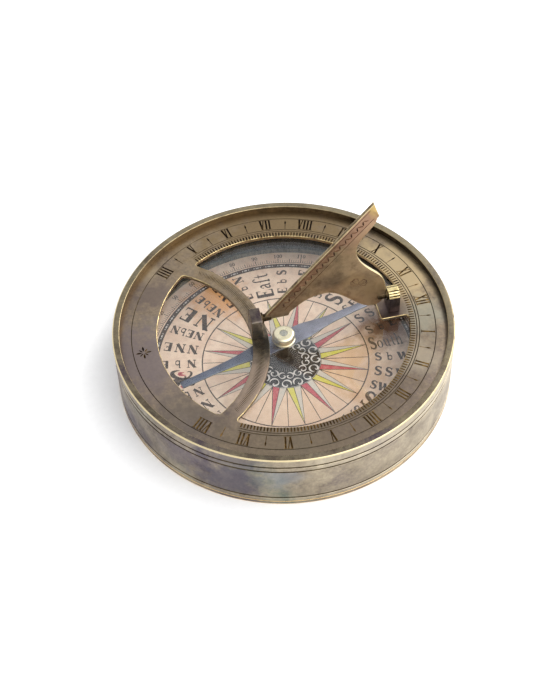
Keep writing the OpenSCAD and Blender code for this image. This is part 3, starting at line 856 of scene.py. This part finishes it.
def divide(piece, planes):
    """Cuts a piece's faces up along planes, each (point, normal)."""
    pick(piece)
    bpy.ops.object.mode_set(mode="EDIT")
    for point, normal in planes:
        bpy.ops.mesh.select_all(action="SELECT")
        bpy.ops.mesh.bisect(plane_co=point, plane_no=normal)
    bpy.ops.object.mode_set(mode="OBJECT")


blued, tree, shader = new_material("heat_blued_steel", Metallic=0.85)
oxide = pattern(tree, 5)
rub = pattern(tree, 0.8, stretch=(0.3, 1, 1))
along = add(tree, "SeparateXYZ", {0: add(tree, "TexCoord").outputs["Object"]}).outputs["X"]
north = mottled(tree, oxide, (0.35, 0.65), "#5c6476", "#494f62")
south = mottled(tree, oxide, (0.35, 0.65), "#848490", "#6a6974")
blue_colour = mottled(tree, along, (-14 * MM, 14 * MM), north, south)
blue_colour = mottled(tree, rub, (0.55, 0.8, 0, 0.5), blue_colour, "#787a7b")
dull = add(tree, "MapRange", (rub, 0.3, 0.7, 0.38, 0.5)).outputs[0]
feed(tree, shader, blue_colour, dull, rub, 0.1, 0.03)
steel_edge = brushed_metal("rubbed_steel_edge", "#8e989a", "#6c747b", 0.3)

needle_angle = math.radians(16.5)
needle_way = at(needle_angle).to_3d()
needle_side = Vector((-needle_way.y, needle_way.x, 0))
hub_half_w, plain_hub_end = 3.4, 10.8
root_half_w, root_out = 2.15, 12.05
end_half_w, end_out = 1.45, 38.8
filed_from, filed_half_w, filed_fall_mm = 8.2, 1.3, 7.5


def plain_half_w(out):
    """Half the width of the CAD's needle, out from its middle, where the arms are straight tapers."""
    if out < root_out:
        return hub_half_w - max(0, out - plain_hub_end)
    return root_half_w + (end_half_w - root_half_w) * (out - root_out) / (end_out - root_out)


def filed_share(out):
    """The share of that width that is left after the arms are filed hollow."""
    if out < filed_from:
        return 1
    fall = ((out - filed_from) / filed_fall_mm) ** 1.3
    return (filed_half_w + (hub_half_w - filed_half_w) * math.exp(-fall)) / plain_half_w(out)


needle = cad_copy("needle_blued", "needle", blued, steel_edge)
divide(needle, [
    (needle_way * (sign * out * MM), needle_way) for out in (filed_from, 14.5, 17.5, 21, 27)
    for sign in (-1, 1)])
for vertex in needle.data.vertices:
    share = filed_share(abs(vertex.co.dot(needle_way)) / MM)
    vertex.co += needle_side * (vertex.co.dot(needle_side) * (share - 1))
break_edges(needle, 0.08)
settle(needle, "compass_needle", "needle_steel", "needle")


# Needle cap and jewel
# A turned brass cap, rubbed pale, whose spigot is spun over under the needle. A polished grey agate
# cup is let into its top and runs on the pivot's point.
cap_brass = rubbed_brass("polished_brass_cap", "#ece2c0", "#cab47d", left=(0.55, 0.8), polish=0.26)
refinish("needle_cap", cap_brass)
agate, tree, shader = new_material("polished_grey_agate", Roughness=0.12, IOR=1.54)
banding = pattern(tree, 1.4, detail=3, distortion=1.5)
feed(tree, shader, mottled(tree, banding, (0.3, 0.7), "#6e706b", "#a8a291"))
refinish("cap_jewel", agate)


# Glass and gasket
# A clear float glass disc on the spacer ring, held by a thin dark gasket under the dial plate.
# Lamps reach the card through it, as they do through real thin glass.
glass, tree, shader = new_material(
    "clear_float_glass", Roughness=0.02, IOR=1.5, Transmission_Weight=1.0, Base_Color=to_linear("#fdfefe"))
through = add(tree, "BsdfTransparent", {"Color": "#fdfefe"})
path = add(tree, "LightPath")
lamp_or_soft = add(
    tree, "Math", (path.outputs["Is Shadow Ray"], path.outputs["Is Diffuse Ray"]), operation="MAXIMUM")
pane = add(
    tree, "MixShader", (lamp_or_soft.outputs[0], shader.outputs["BSDF"], through.outputs["BSDF"]))
tree.links.new(pane.outputs["Shader"], tree.nodes["Material Output"].inputs["Surface"])
refinish("glass", glass)

rubber, tree, shader = new_material("moulded_nitrile_rubber", Roughness=0.7)
bloom = pattern(tree, 1.5)
feed(tree, shader, mottled(tree, bloom, (0.35, 0.7), "#2c231c", "#40362c"))
refinish("glass_gasket", rubber)


# Dial plate
# The hour ring with its curved bridge and its tab, sawn from brass plate. Hour numerals, half-hour
# drops, five-minute ticks and border lines are cut with a graver, and the bath has browned the cuts.
# On the dial, the light patch on the ring at the right, a little behind the tab, is a painted highlight;
# the broad darker patch over the front and the near-black one just in front of the foot lug are painted
# shade; and painted light and shade makes the back paler and the front darker.
dial_brass = aged_brass(
    "antiqued_brass_dial", "#a08e76", "#6e6257", "#655a5c", "#67655b", cover=(0.2, 0.78), side_light=0.14,
    side_light_angle=110, cloud_mm=15, flecks=0.3, stains_and_painted_light=(
        (8, 49, 21, 44, "#86714f", 0.75), (-48, -4, 21, 24, "#7a6f70", 0.75),
        (44, 15, 21, 21, "#c4ae88", 0.85), (-41, 35, 21, 6, "#b3a184", 0.7),
        (-40, 25, 21, 11, "#6b5f5c", 0.7), (-38, -31, 21, 14, "#6c6460", 0.65),
        (4, -50, 21, 62, "#6d6152", 0.6), (40, -24, 21, 9, "#b5a892", 0.55),
        (47, -7, 21, 10, "#a3a08f", 0.6), (36, -2, 21, 9, "#54474a", 0.8),
        (-13, -24, 21, 17, "#a89484", 0.65), (-7, -6, 21, 9.5, "#33332f", 0.9)))
dial_edge = rubbed_brass("rubbed_brass_dial_edge", "#dcc592", "#7b6644", left=(0.42, 0.66))
# The cuts are browned by the bath, and painted light and shade makes them paler towards the front and
# darker towards the back.
cut_brass = rubbed_brass(
    "browned_brass_cuts_painted_side_light", "#95794a", "#2b2016", left=(0.25, 0.56), polish=0.32, side_light=0.32, side_light_angle=-80)

dial_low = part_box("dial_plate")[0].z / MM
plate_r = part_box("dial_plate")[1].x / MM
opening_r = 42.2
bridge_middle_x = -48.5
bridge_out_r, bridge_in_r = 42.8, 37.2
fillet_r = 1.1
tab_half, tab_end, tab_corner = 5.1, 32.5, 0.8


def sweep(x, y, r, first, last, step_mm=0.55):
    """Points of an arc about x, y. It turns left where last is larger than first."""
    steps = max(4, round(abs(math.radians(last - first)) * r / step_mm))
    return oval(x, y, r, r, first, last, steps)


def degrees_to(x, y):
    return math.degrees(math.atan2(y, x))


def bridge_fillet(middle_r):
    """The middle x, y of the fillet between ring and bridge on the morning side, and its two ends.

    middle_r is how far it lies from the bridge's own middle. The ends are angles, to ring and bridge."""
    ring_side_r = opening_r - fillet_r
    x = (middle_r ** 2 - ring_side_r ** 2 - bridge_middle_x ** 2) / (2 * -bridge_middle_x)
    y = math.sqrt(ring_side_r ** 2 - x * x)
    return x, y, degrees_to(x, y), degrees_to(x - bridge_middle_x, y)


def hour_opening():
    x, y, ring_end, bridge_end = bridge_fillet(bridge_out_r + fillet_r)
    tab_y = tab_half + fillet_r
    tab_x = math.sqrt((opening_r - fillet_r) ** 2 - tab_y ** 2)
    tab_angle = degrees_to(tab_x, tab_y)
    inner_x, inner_y = tab_end + tab_corner, tab_half - tab_corner
    return (
        sweep(0, 0, opening_r, tab_angle, ring_end)
        + sweep(x, y, fillet_r, ring_end, bridge_end + 180, 0.2)[1:]
        + sweep(bridge_middle_x, 0, bridge_out_r, bridge_end, -bridge_end)[1:]
        + sweep(x, -y, fillet_r, 180 - bridge_end, 360 - ring_end, 0.2)[1:]
        + sweep(0, 0, opening_r, 360 - ring_end, 360 - tab_angle)[1:]
        + sweep(tab_x, -tab_y, fillet_r, -tab_angle, 90, 0.2)[1:]
        + sweep(inner_x, -inner_y, tab_corner, -90, -180, 0.2)
        + sweep(inner_x, inner_y, tab_corner, 180, 90, 0.2)
        + sweep(tab_x, tab_y, fillet_r, -90, tab_angle, 0.2)[:-1])


def back_opening():
    x, y, ring_end, bridge_end = bridge_fillet(bridge_in_r - fillet_r)
    return (
        sweep(bridge_middle_x, 0, bridge_in_r, -bridge_end, bridge_end)
        + sweep(x, y, fillet_r, bridge_end, ring_end, 0.2)[1:]
        + sweep(0, 0, opening_r, ring_end, 360 - ring_end)[1:]
        + sweep(x, -y, fillet_r, -ring_end, -bridge_end, 0.2)[1:-1])


def thickened(piece, way):
    """Draws a flat outline out along a way into a solid."""
    open_all(piece)
    bpy.ops.mesh.extrude_region_move(TRANSFORM_OT_translate={"value": way})
    close_outwards()


def sawn(name, outline, low, high):
    """A solid with a flat outline in x and y, from low to high, all in mm."""
    piece = outline_face(name, [(p[0] * MM, p[1] * MM, low * MM) for p in outline])
    thickened(piece, (0, 0, (high - low) * MM))
    return piece


def cut_away(piece, cutter, engraving=False):
    """Takes the cutter's shape out of a piece, and removes the cutter. Engraved strokes may cross."""
    pick(piece)
    cut = piece.modifiers.new("cut", "BOOLEAN")
    cut.operation = "DIFFERENCE"
    cut.solver = "EXACT"
    cut.use_self = engraving
    cut.material_mode = "TRANSFER" if engraving else "INDEX"
    cut.object = cutter
    bpy.ops.object.modifier_apply(modifier="cut")
    bpy.data.objects.remove(cutter)


class Graver:
    """Cuts with a square graver: each stroke leaves a V-shaped furrow as deep as half its width."""

    def __init__(self, name):
        self.curve = bpy.data.curves.new(name, "CURVE")
        self.curve.dimensions = "3D"
        self.curve.bevel_depth = 1
        self.curve.bevel_resolution = 0
        self.curve.use_fill_caps = True

    def cut(self, points, widths, closed=False):
        """A furrow along points in mm, with its width at each."""
        spline = self.curve.splines.new("POLY")
        spline.points.add(len(points) - 1)
        spline.use_cyclic_u = closed
        for at_point, point, width in zip(spline.points, points, widths):
            at_point.co = (*(Vector(point) * MM), 1)
            at_point.radius = width / 2 * MM

    def tool(self, material):
        """The furrows as one solid, ready to be taken out of a piece."""
        piece = bpy.data.objects.new(self.curve.name, self.curve)
        bpy.context.scene.collection.objects.link(piece)
        pick(piece)
        bpy.ops.object.convert(target="MESH")
        piece = bpy.context.object
        open_all(piece)
        bpy.ops.mesh.remove_doubles(threshold=0.0001 * MM)
        close_outwards()
        piece.data.materials.clear()
        coat(piece, material)
        return piece


HOUR = 16.9
NOON = 12
STROKES = {
    "I": (1.16, [((0, 0), (0, 1), 0.62)]),
    "V": (1.8, [((-0.62, 1), (0, 0), 0.66), ((0.62, 1), (0, 0), 0.34)]),
    "X": (1.95, [((-0.68, 1), (0.68, 0), 0.66), ((0.68, 1), (-0.68, 0), 0.34)])}
ROMAN = {
    1: "I", 2: "II", 3: "III", 4: "IIII", 5: "V", 6: "VI", 7: "VII", 8: "VIII", 9: "IX", 10: "X",
    11: "XI", 12: "XII"}
numeral_foot, numeral_h = 45.9, 4.5


def on_plate(angle, r):
    """Turns (to the right, outwards) at an angle of the ring into x, y, z on the plate."""
    place = upright(angle, r)
    return lambda along, up: Vector((*place(along, up), dial_top))


def on_hour(hour, r=0):
    return on_plate(math.radians(-HOUR * (hour - NOON)), r)


def tapered(graver, a, b, width, lead=0.3):
    """A straight furrow that runs out at both ends."""
    a, b = Vector(a), Vector(b)
    way = (b - a).normalized() * lead
    graver.cut([a - way, a, b, b + way], [0, width, width, 0])


def engrave_numeral(graver, hour, text):
    """The strokes of one numeral, with the fine lines that close it below and above."""
    place = on_hour(hour, numeral_foot)
    total = sum(STROKES[c][0] for c in text)
    along = -total / 2
    for c in text:
        width, strokes = STROKES[c]
        middle = along + width / 2
        for (x0, y0), (x1, y1), wide in strokes:
            graver.cut(
                [place(middle + x0, y0 * numeral_h), place(middle + x1, y1 * numeral_h)], [wide, wide])
        along += width
    for height in (0, numeral_h):
        inset = 0.1 if height else 0.5 * (text[0] == "V")
        tapered(graver, place(inset - total / 2, height), place(total / 2 - 0.1, height), 0.2)


graver = Graver("hour_cuts")
for hour in range(4, 21):
    engrave_numeral(graver, hour, ROMAN[(hour - 1) % 12 + 1])
for half in range(16):
    place = on_hour(half + 4.5)
    graver.cut(
        [place(0, r) for r in (45.5, 45.9, 48.0, 48.7, 49.1, 49.9)], [0, 0.22, 0.24, 0.62, 0.5, 0])
fives, tick_low, tick_high = 86, 42.45, 43.9
for five in range(-fives, fives + 1):
    place = on_plate(math.radians(HOUR * five / 12), 0)
    tapered(graver, place(0, tick_low), place(0, tick_high), 0.5, 0.2)
hour_side = 122
line_rs, rim_line_r, line_w = (44.5, 45.4), 50.8, 0.3
for r in line_rs:
    arc = [Vector((*p, dial_top)) for p in ring_points(r, -hour_side, hour_side, 160)]
    graver.cut(arc, [0] + [line_w] * (len(arc) - 2) + [0])
circle = [Vector((*p, dial_top)) for p in ring_points(rim_line_r, steps=240)[:-1]]
graver.cut(circle, [line_w] * len(circle), closed=True)

# The small flower on the ring behind the bridge
middle = Vector((-47.3, 0, dial_top))
petals = 8
for petal in range(petals):
    angle = math.tau * petal / petals
    reach, wide = (2.7, 0.7) if petal % 2 == 0 else (2.0, 0.5)
    way = at(angle).to_3d()
    graver.cut([middle + way * reach * s for s in (0.2, 0.5, 0.78, 1)], [0.1, wide, wide * 0.85, 0])

# Hatching along the bridge, longest and boldest in its middle
hatches, hatch_from, hatch_step = 58, 5.5, 0.78
middle = Vector((bridge_middle_x, 0, dial_top))
r = (bridge_in_r + bridge_out_r) / 2 + 0.15
for side in (-1, 1):
    for i in range(hatches):
        angle = math.radians(side * (hatch_from + hatch_step * i))
        way = at(angle).to_3d()
        near = 1 - i / hatches
        length = 1.3 + 0.9 * near
        lean = Vector((-way.y, way.x, 0)) * 0.45 * side
        graver.cut(
            [middle + way * (r - length) - lean, middle + way * r, middle + way * (r + length) + lean],
            [0, 0.2 + 0.18 * near, 0])

dial = sawn("dial_plate_engraved", sweep(0, 0, plate_r, 0, 360, 1.2)[:-1], dial_low, dial_top)
for name, outline in (("hour_saw", hour_opening()), ("back_saw", back_opening())):
    cut_away(dial, sawn(name, outline, dial_low - 1, dial_top + 1))
dial.data.materials.clear()
coat(dial, dial_brass, dial_edge)
break_edges(dial, 0.24, 3, 60)
divide(dial, [
    ((0, 0, 0), (math.sin(math.radians(7.5 * i + 2)), -math.cos(math.radians(7.5 * i + 2)), 0))
    for i in range(24)])
cut_away(dial, graver.tool(cut_brass), engraving=True)
coat(dial, groove_brass)

# Painted shade around the foot lug: there the bridge's edges aren't rubbed bright and its cuts are black,
# like the border lines of the ring, which are black everywhere.
shade_middle, shade_r = Vector((-8, 0, dial_top)), 27
for face in dial.data.polygons:
    middle = face.center / MM
    r = math.hypot(middle.x, middle.y)
    if (middle - shade_middle).length < shade_r:
        face.material_index = 3 if face.material_index == 2 else 0
    elif face.material_index == 2 and (
            r > rim_line_r - line_w or line_rs[0] - line_w < r < line_rs[1] + 0.2):
        face.material_index = 3
smooth(dial)
settle(dial, "case", "dial_brass", "dial_plate")


# Lugs and their screws
# Two small brass blocks stand on bridge and tab, each held from below by two countersunk screws,
# and carry the hinge. Both are dark, but for a paler front face on the bridge that is a painted
# reflection, and a top on the tab rubbed bright and painted brighter as a highlight.
dark_lug = aged_brass("antiqued_brass_foot_lug", "#6c6258", "#3c3433", "#41373b", "#3c4240", cloud_mm=3)
dark_lug_edge = rubbed_brass("rubbed_brass_foot_lug", "#a39070", "#5c4c3c", left=(0.35, 0.6))
foot_lug_front_painted_reflection = aged_brass("foot_lug_front_face_painted_reflection", "#b3a793", "#6d6a64", "#75706f", "#5f6b69", cloud_mm=4)
foot_lug = cad_copy("foot_lug_filed", "foot_lug", dark_lug, dark_lug_edge, foot_lug_front_painted_reflection)
break_edges(foot_lug, 0.22, 3)
# The face towards the front takes the paler brass: a painted reflection.
for face in foot_lug.data.polygons:
    if face.material_index == 0 and face.normal.y < -0.8:
        face.material_index = 2
settle(foot_lug, "case", "dark_brass", "foot_lug")

toe_lug_brass = aged_brass(
    "antiqued_brass_toe_lug", "#6a5f5d", "#40383a", "#473e45", "#434446", cloud_mm=4)
toe_lug_top_wear_and_highlight = rubbed_brass("rubbed_brass_toe_lug_painted_highlight", "#efdca4", "#a08a58")
toe_lug = cad_copy("toe_lug_filed", "toe_lug", toe_lug_brass, toe_lug_top_wear_and_highlight)
break_edges(toe_lug, 0.2, 3)
lug_low, lug_high = (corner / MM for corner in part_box("toe_lug"))
bright_h, round_r = 1.9, 2.4
# The upward faces of the top are rubbed bright and painted brighter still as a highlight.
for face in toe_lug.data.polygons:
    on_top = face.center.z > (lug_high.z - bright_h) * MM and face.normal.z > 0.25
    face.material_index = 1 if on_top else 0
graver = Graver("toe_lug_reeds")
for lean in (-58, -34, -11, 11, 34, 58):
    a = math.radians(lean)
    y = math.sin(a) * round_r + math.copysign(lug_high.y - round_r, lean)
    z = lug_high.z - round_r + math.cos(a) * round_r
    tapered(graver, (lug_low.x + 0.3, y, z), (lug_high.x - 0.3, y, z), 0.5, 0.5)
cut_away(toe_lug, graver.tool(cut_brass), engraving=True)
settle(toe_lug, "case", "bright_brass", "toe_lug")
refinish("foot_lug_screws", cap_brass)
refinish("toe_lug_screws", cap_brass)


# Hinge pins and friction washers
# Each pin is a turned brass journal whose slotted head grips the gnomon's edge. A thin brass washer
# between lug and gnomon gives the drag that holds the gnomon where it is set.
pin_brass = rubbed_brass("turned_brass_pins", "#4a3d2a", "#281f16", left=(0.4, 0.7), polish=0.3)
for name, node in (("foot_pin_turned", "foot_pin"), ("toe_pin_turned", "toe_pin")):
    pin = cad_copy(name, node, pin_brass, dark_lug_edge)
    break_edges(pin, 0.12)
    settle(pin, "gnomon_blade", "bright_brass", node)
refinish("foot_washer", pin_brass)
refinish("toe_washer", pin_brass)


# Gnomon
# The blade that throws the shadow, sawn from brass sheet and filed. Its edges are rubbed bright, and
# painted brighter as a highlight where they face right, while those facing left, the sloping style edge
# among them, are painted dark as shade. Both faces have a running vine cut along the straight edge
# and a faint double scroll on the lobe.
# On the blade, the pale patches at the tip are a painted highlight, and painted light and shade makes the
# toe end paler and the foot end darker.
blade_brass = aged_brass(
    "antiqued_brass_gnomon", "#b09878", "#6d5b45", "#6c5548", "#6a6650", cover=(0.32, 0.7),
    polish=(0.4, 0.52), cloud_mm=4.5, side_light=0.5, stains_and_painted_light=(
        (27, 0, 61, 12, "#bf9e82", 0.72), (31, 0, 69, 4, "#c8ac72", 1), (24, 0, 38, 5, "#bfa27a", 0.7),
        (30, 0, 32, 7, "#b99d76", 0.6), (-2, 0, 31, 14, "#6f5d4c", 0.6), (17, 0, 39, 5, "#6b5a47", 0.6)))
blade_edge = rubbed_brass("rubbed_brass_gnomon_edge_and_highlight", "#dccb9c", "#8f7a4f", left=(0.5, 0.75))
# The border carries the same painted highlight at the tip and the same painted light and shade.
border_brass = aged_brass(
    "reddened_brass_border", "#ac8c70", "#735540", "#745048", "#6d5c44", cover=(0.25, 0.75),
    polish=(0.4, 0.52), cloud_mm=3, side_light=0.5, stains_and_painted_light=(
        (27, 0, 61, 12, "#b5927b", 0.65), (31, 0, 69, 4, "#c8ac72", 1)))
style_edge_painted_shade = rubbed_brass("brass_style_edge_painted_shade", "#9c8a6b", "#5c4d3d", left=(0.4, 0.65), polish=0.36)
vine_brass = rubbed_brass("browned_brass_vine", "#6a4c38", "#34241b", left=(0.35, 0.65), polish=0.36)

hinge_z = 27.2
blade_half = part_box("gnomon")[1].y / MM
foot_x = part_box("gnomon")[0].x / MM
toe_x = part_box("gnomon")[1].x / MM
style_angle = math.radians(49.8)
style_way = Vector((math.cos(style_angle), math.sin(style_angle)))
style_in = Vector((style_way.y, -style_way.x))
foot_low, foot_high = Vector((foot_x, -0.7)), Vector((foot_x, 0.6))
style_len = (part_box("gnomon")[1].z / MM - hinge_z - foot_high.y) / style_way.y
blade_end = Vector((foot_x + 8.4, -0.4))
blade_nick = blade_end + Vector((0.6, 1.6))
style_top = foot_high + style_way * style_len
notch = style_top + Vector((1.1, -3.4))
tip = style_top + Vector((1.9, -5.7))
heel = style_top + Vector((0.7, -8.5))
neck = style_top + Vector((-5.3, -19.6))
lobe_side = Vector((toe_x, 3.2))
shoulder = Vector((toe_x - 2.3, 10.9))
lobe_low = Vector((toe_x - 4.5, -3.3))
belly = Vector((foot_x + 20.9, 7))


def pulled(a, lead_a, lead_d, d):
    """A curve of the blade's outline, without its first point. The leads say how it leaves and arrives."""
    return bent(a, a + Vector(lead_a), d + Vector(lead_d), d, steps=20)[1:]


blade_outline = (
    [foot_low, blade_end, blade_nick]
    + pulled(blade_nick, (3.2, 2.6), (-6, 0), belly)
    + pulled(belly, (6, 0), (-5, 0), lobe_low)
    + pulled(lobe_low, (3, 0), (0, -4), lobe_side)
    + pulled(lobe_side, (0, 3.6), (1.5, -2), shoulder)
    + pulled(shoulder, (-2.5, 3), (0, -6), neck)
    + pulled(neck, (0, 4.2), (-2.6, -4.2), heel)
    + pulled(heel, (0.4, 0.9), (-0.9, -0.3), tip)
    + [notch, style_top, foot_high])
blade = outline_face(
    "gnomon_sawn", [(p.x * MM, -blade_half * MM, (p.y + hinge_z) * MM) for p in blade_outline])
thickened(blade, (0, 2 * blade_half * MM, 0))
coat(blade, blade_brass, blade_edge)
break_edges(blade, 0.14, 2, 60)
# Edges that don't face left take the bright edge finish: rubbed wear and painted highlight.
for face in blade.data.polygons:
    if abs(face.normal.y) < 0.5 and face.normal.x > -0.3:
        face.material_index = 1

vine_start, vine_deep, vine_swing = 6.5, 2.45, 0.6
wave_mm, waves, wave_steps = 2.9, 15, 12
border_low, border_high = 0.75, 4.15
scroll_x, scroll_z = 25.3, 8.4


def on_blade(side, along, deep):
    """A point on one face of the blade, along the style edge from the foot and in from the edge."""
    flat = foot_high + style_way * along + style_in * deep
    return Vector((flat.x, side * blade_half, flat.y + hinge_z))


def engrave_vine(graver, side):
    """Two border lines along the style edge, and between them a waving stem with a leaf in each bend."""
    for first, last, deep in ((2.5, 53.5, border_low), (vine_start, 51.5, border_high)):
        tapered(graver, on_blade(side, first, deep), on_blade(side, last, deep), 0.2, 0.6)
    steps = waves * wave_steps
    stem = [
        on_blade(side, vine_start + wave_mm * waves * i / steps,
                 vine_deep + vine_swing * math.sin(math.tau * waves * i / steps))
        for i in range(steps + 1)]
    graver.cut(stem, [0] + [0.15] * (steps - 1) + [0])
    for leaf in range(2 * waves):
        start = vine_start + wave_mm * (leaf + 0.5) / 2
        up = 1 if leaf % 2 == 0 else -1
        graver.cut(
            [on_blade(side, start + along, vine_deep + up * 0.55 - up * rise)
             for along, rise in ((0, 0), (0.35, 0.5), (0.8, 0.9), (1.1, 1.4))],
            [0.05, 0.36, 0.32, 0])


def engrave_scroll(graver, side):
    """Six curls about one middle."""
    middle = Vector((scroll_x, side * blade_half, hinge_z + scroll_z))
    curl = [(0, 0), (-1.1, 0.9), (-1.5, 2.1), (-0.6, 3.1), (0.5, 2.6), (0.3, 1.7), (-0.4, 1.8)]
    widths = [0.04, 0.12, 0.16, 0.16, 0.14, 0.1, 0]
    for turn in (-100, -50, 50, 100):
        lean = Matrix.Rotation(math.radians(turn * 0.6 - 20), 2)
        for flip in (1, -1) if abs(turn) > 60 else (math.copysign(1, turn),):
            points = [lean @ Vector((x * flip, z)) for x, z in curl]
            graver.cut([middle + Vector((p.x, 0, p.y)) for p in points], widths)


graver = Graver("vine_cuts")
for side in (-1, 1):
    engrave_vine(graver, side)
    engrave_scroll(graver, side)
divide(blade, [(on_blade(1, 3 + 1.8 * i, 0), (style_way.x, 0, style_way.y)) for i in range(28)])
cut_away(blade, graver.tool(vine_brass), engraving=True)
coat(blade, border_brass, style_edge_painted_shade)
# Faces on the border band take the border's brass, and faces that face left, the style edge among them,
# take the dark style finish: painted shade.
for face in blade.data.polygons:
    out = Vector((face.center.x, face.center.z)) / MM - Vector((foot_high.x, foot_high.y + hinge_z))
    if abs(face.normal.y) > 0.9 and 0.8 < out.dot(style_in) < 4.1 and out.dot(style_way) > 5:
        face.material_index = 3
    if face.normal.x * style_way.y < -0.5 and abs(face.normal.y) < 0.3:
        face.material_index = 4
smooth(blade)
settle(blade, "gnomon_blade", "gnomon_brass", "gnomon")


# The studio
# A white paper floor between pale walls, with a broad soft box high on the right and a narrower one
# low behind it, as the photograph's bright right side, soft left shadow and white ground ask for.
start_clean()
bpy.ops.mesh.primitive_plane_add(size=6, location=(0, 0, 0))
floor = bpy.context.object
floor.name = "paper_floor"
floor_paper, tree, shader = new_material("white_background_paper", Roughness=0.9, Specular_IOR_Level=0.1)
tooth = pattern(tree, 2, detail=3)
feed(tree, shader, mottled(tree, tooth, (0.3, 0.7), "#fafafa", "#fdfdfd"))
coat(floor, floor_paper)


def soft_box(name, azimuth, elevation, distance, width, height, watts):
    """A lamp of a given size that faces the object. Azimuth 0 is where the camera stands."""
    back = way_to(camera_azimuth + azimuth, elevation)
    start_clean()
    bpy.ops.object.light_add(type="AREA", location=back * distance)
    lamp = bpy.context.object
    lamp.name = name
    lamp.rotation_euler = (-back).to_track_quat("-Z", "Y").to_euler()
    lamp.data.shape = "RECTANGLE"
    lamp.data.size, lamp.data.size_y = width, height
    lamp.data.energy = watts
    lamp.data.color = to_linear("#fffefc")[:3]


soft_box("right_soft_box", 62, 58, 1.1, 1.1, 1.0, 9)
soft_box("back_soft_box", 133, 28, 1.2, 0.6, 1.0, 8)
world = bpy.data.worlds.new("studio_walls")
bpy.context.scene.world = world
world.use_nodes = True
walls = world.node_tree.nodes["Background"]
walls.inputs["Color"].default_value = to_linear("#f8f9fb")
walls.inputs["Strength"].default_value = 0.95
bpy.context.scene.view_settings.view_transform = "Standard"
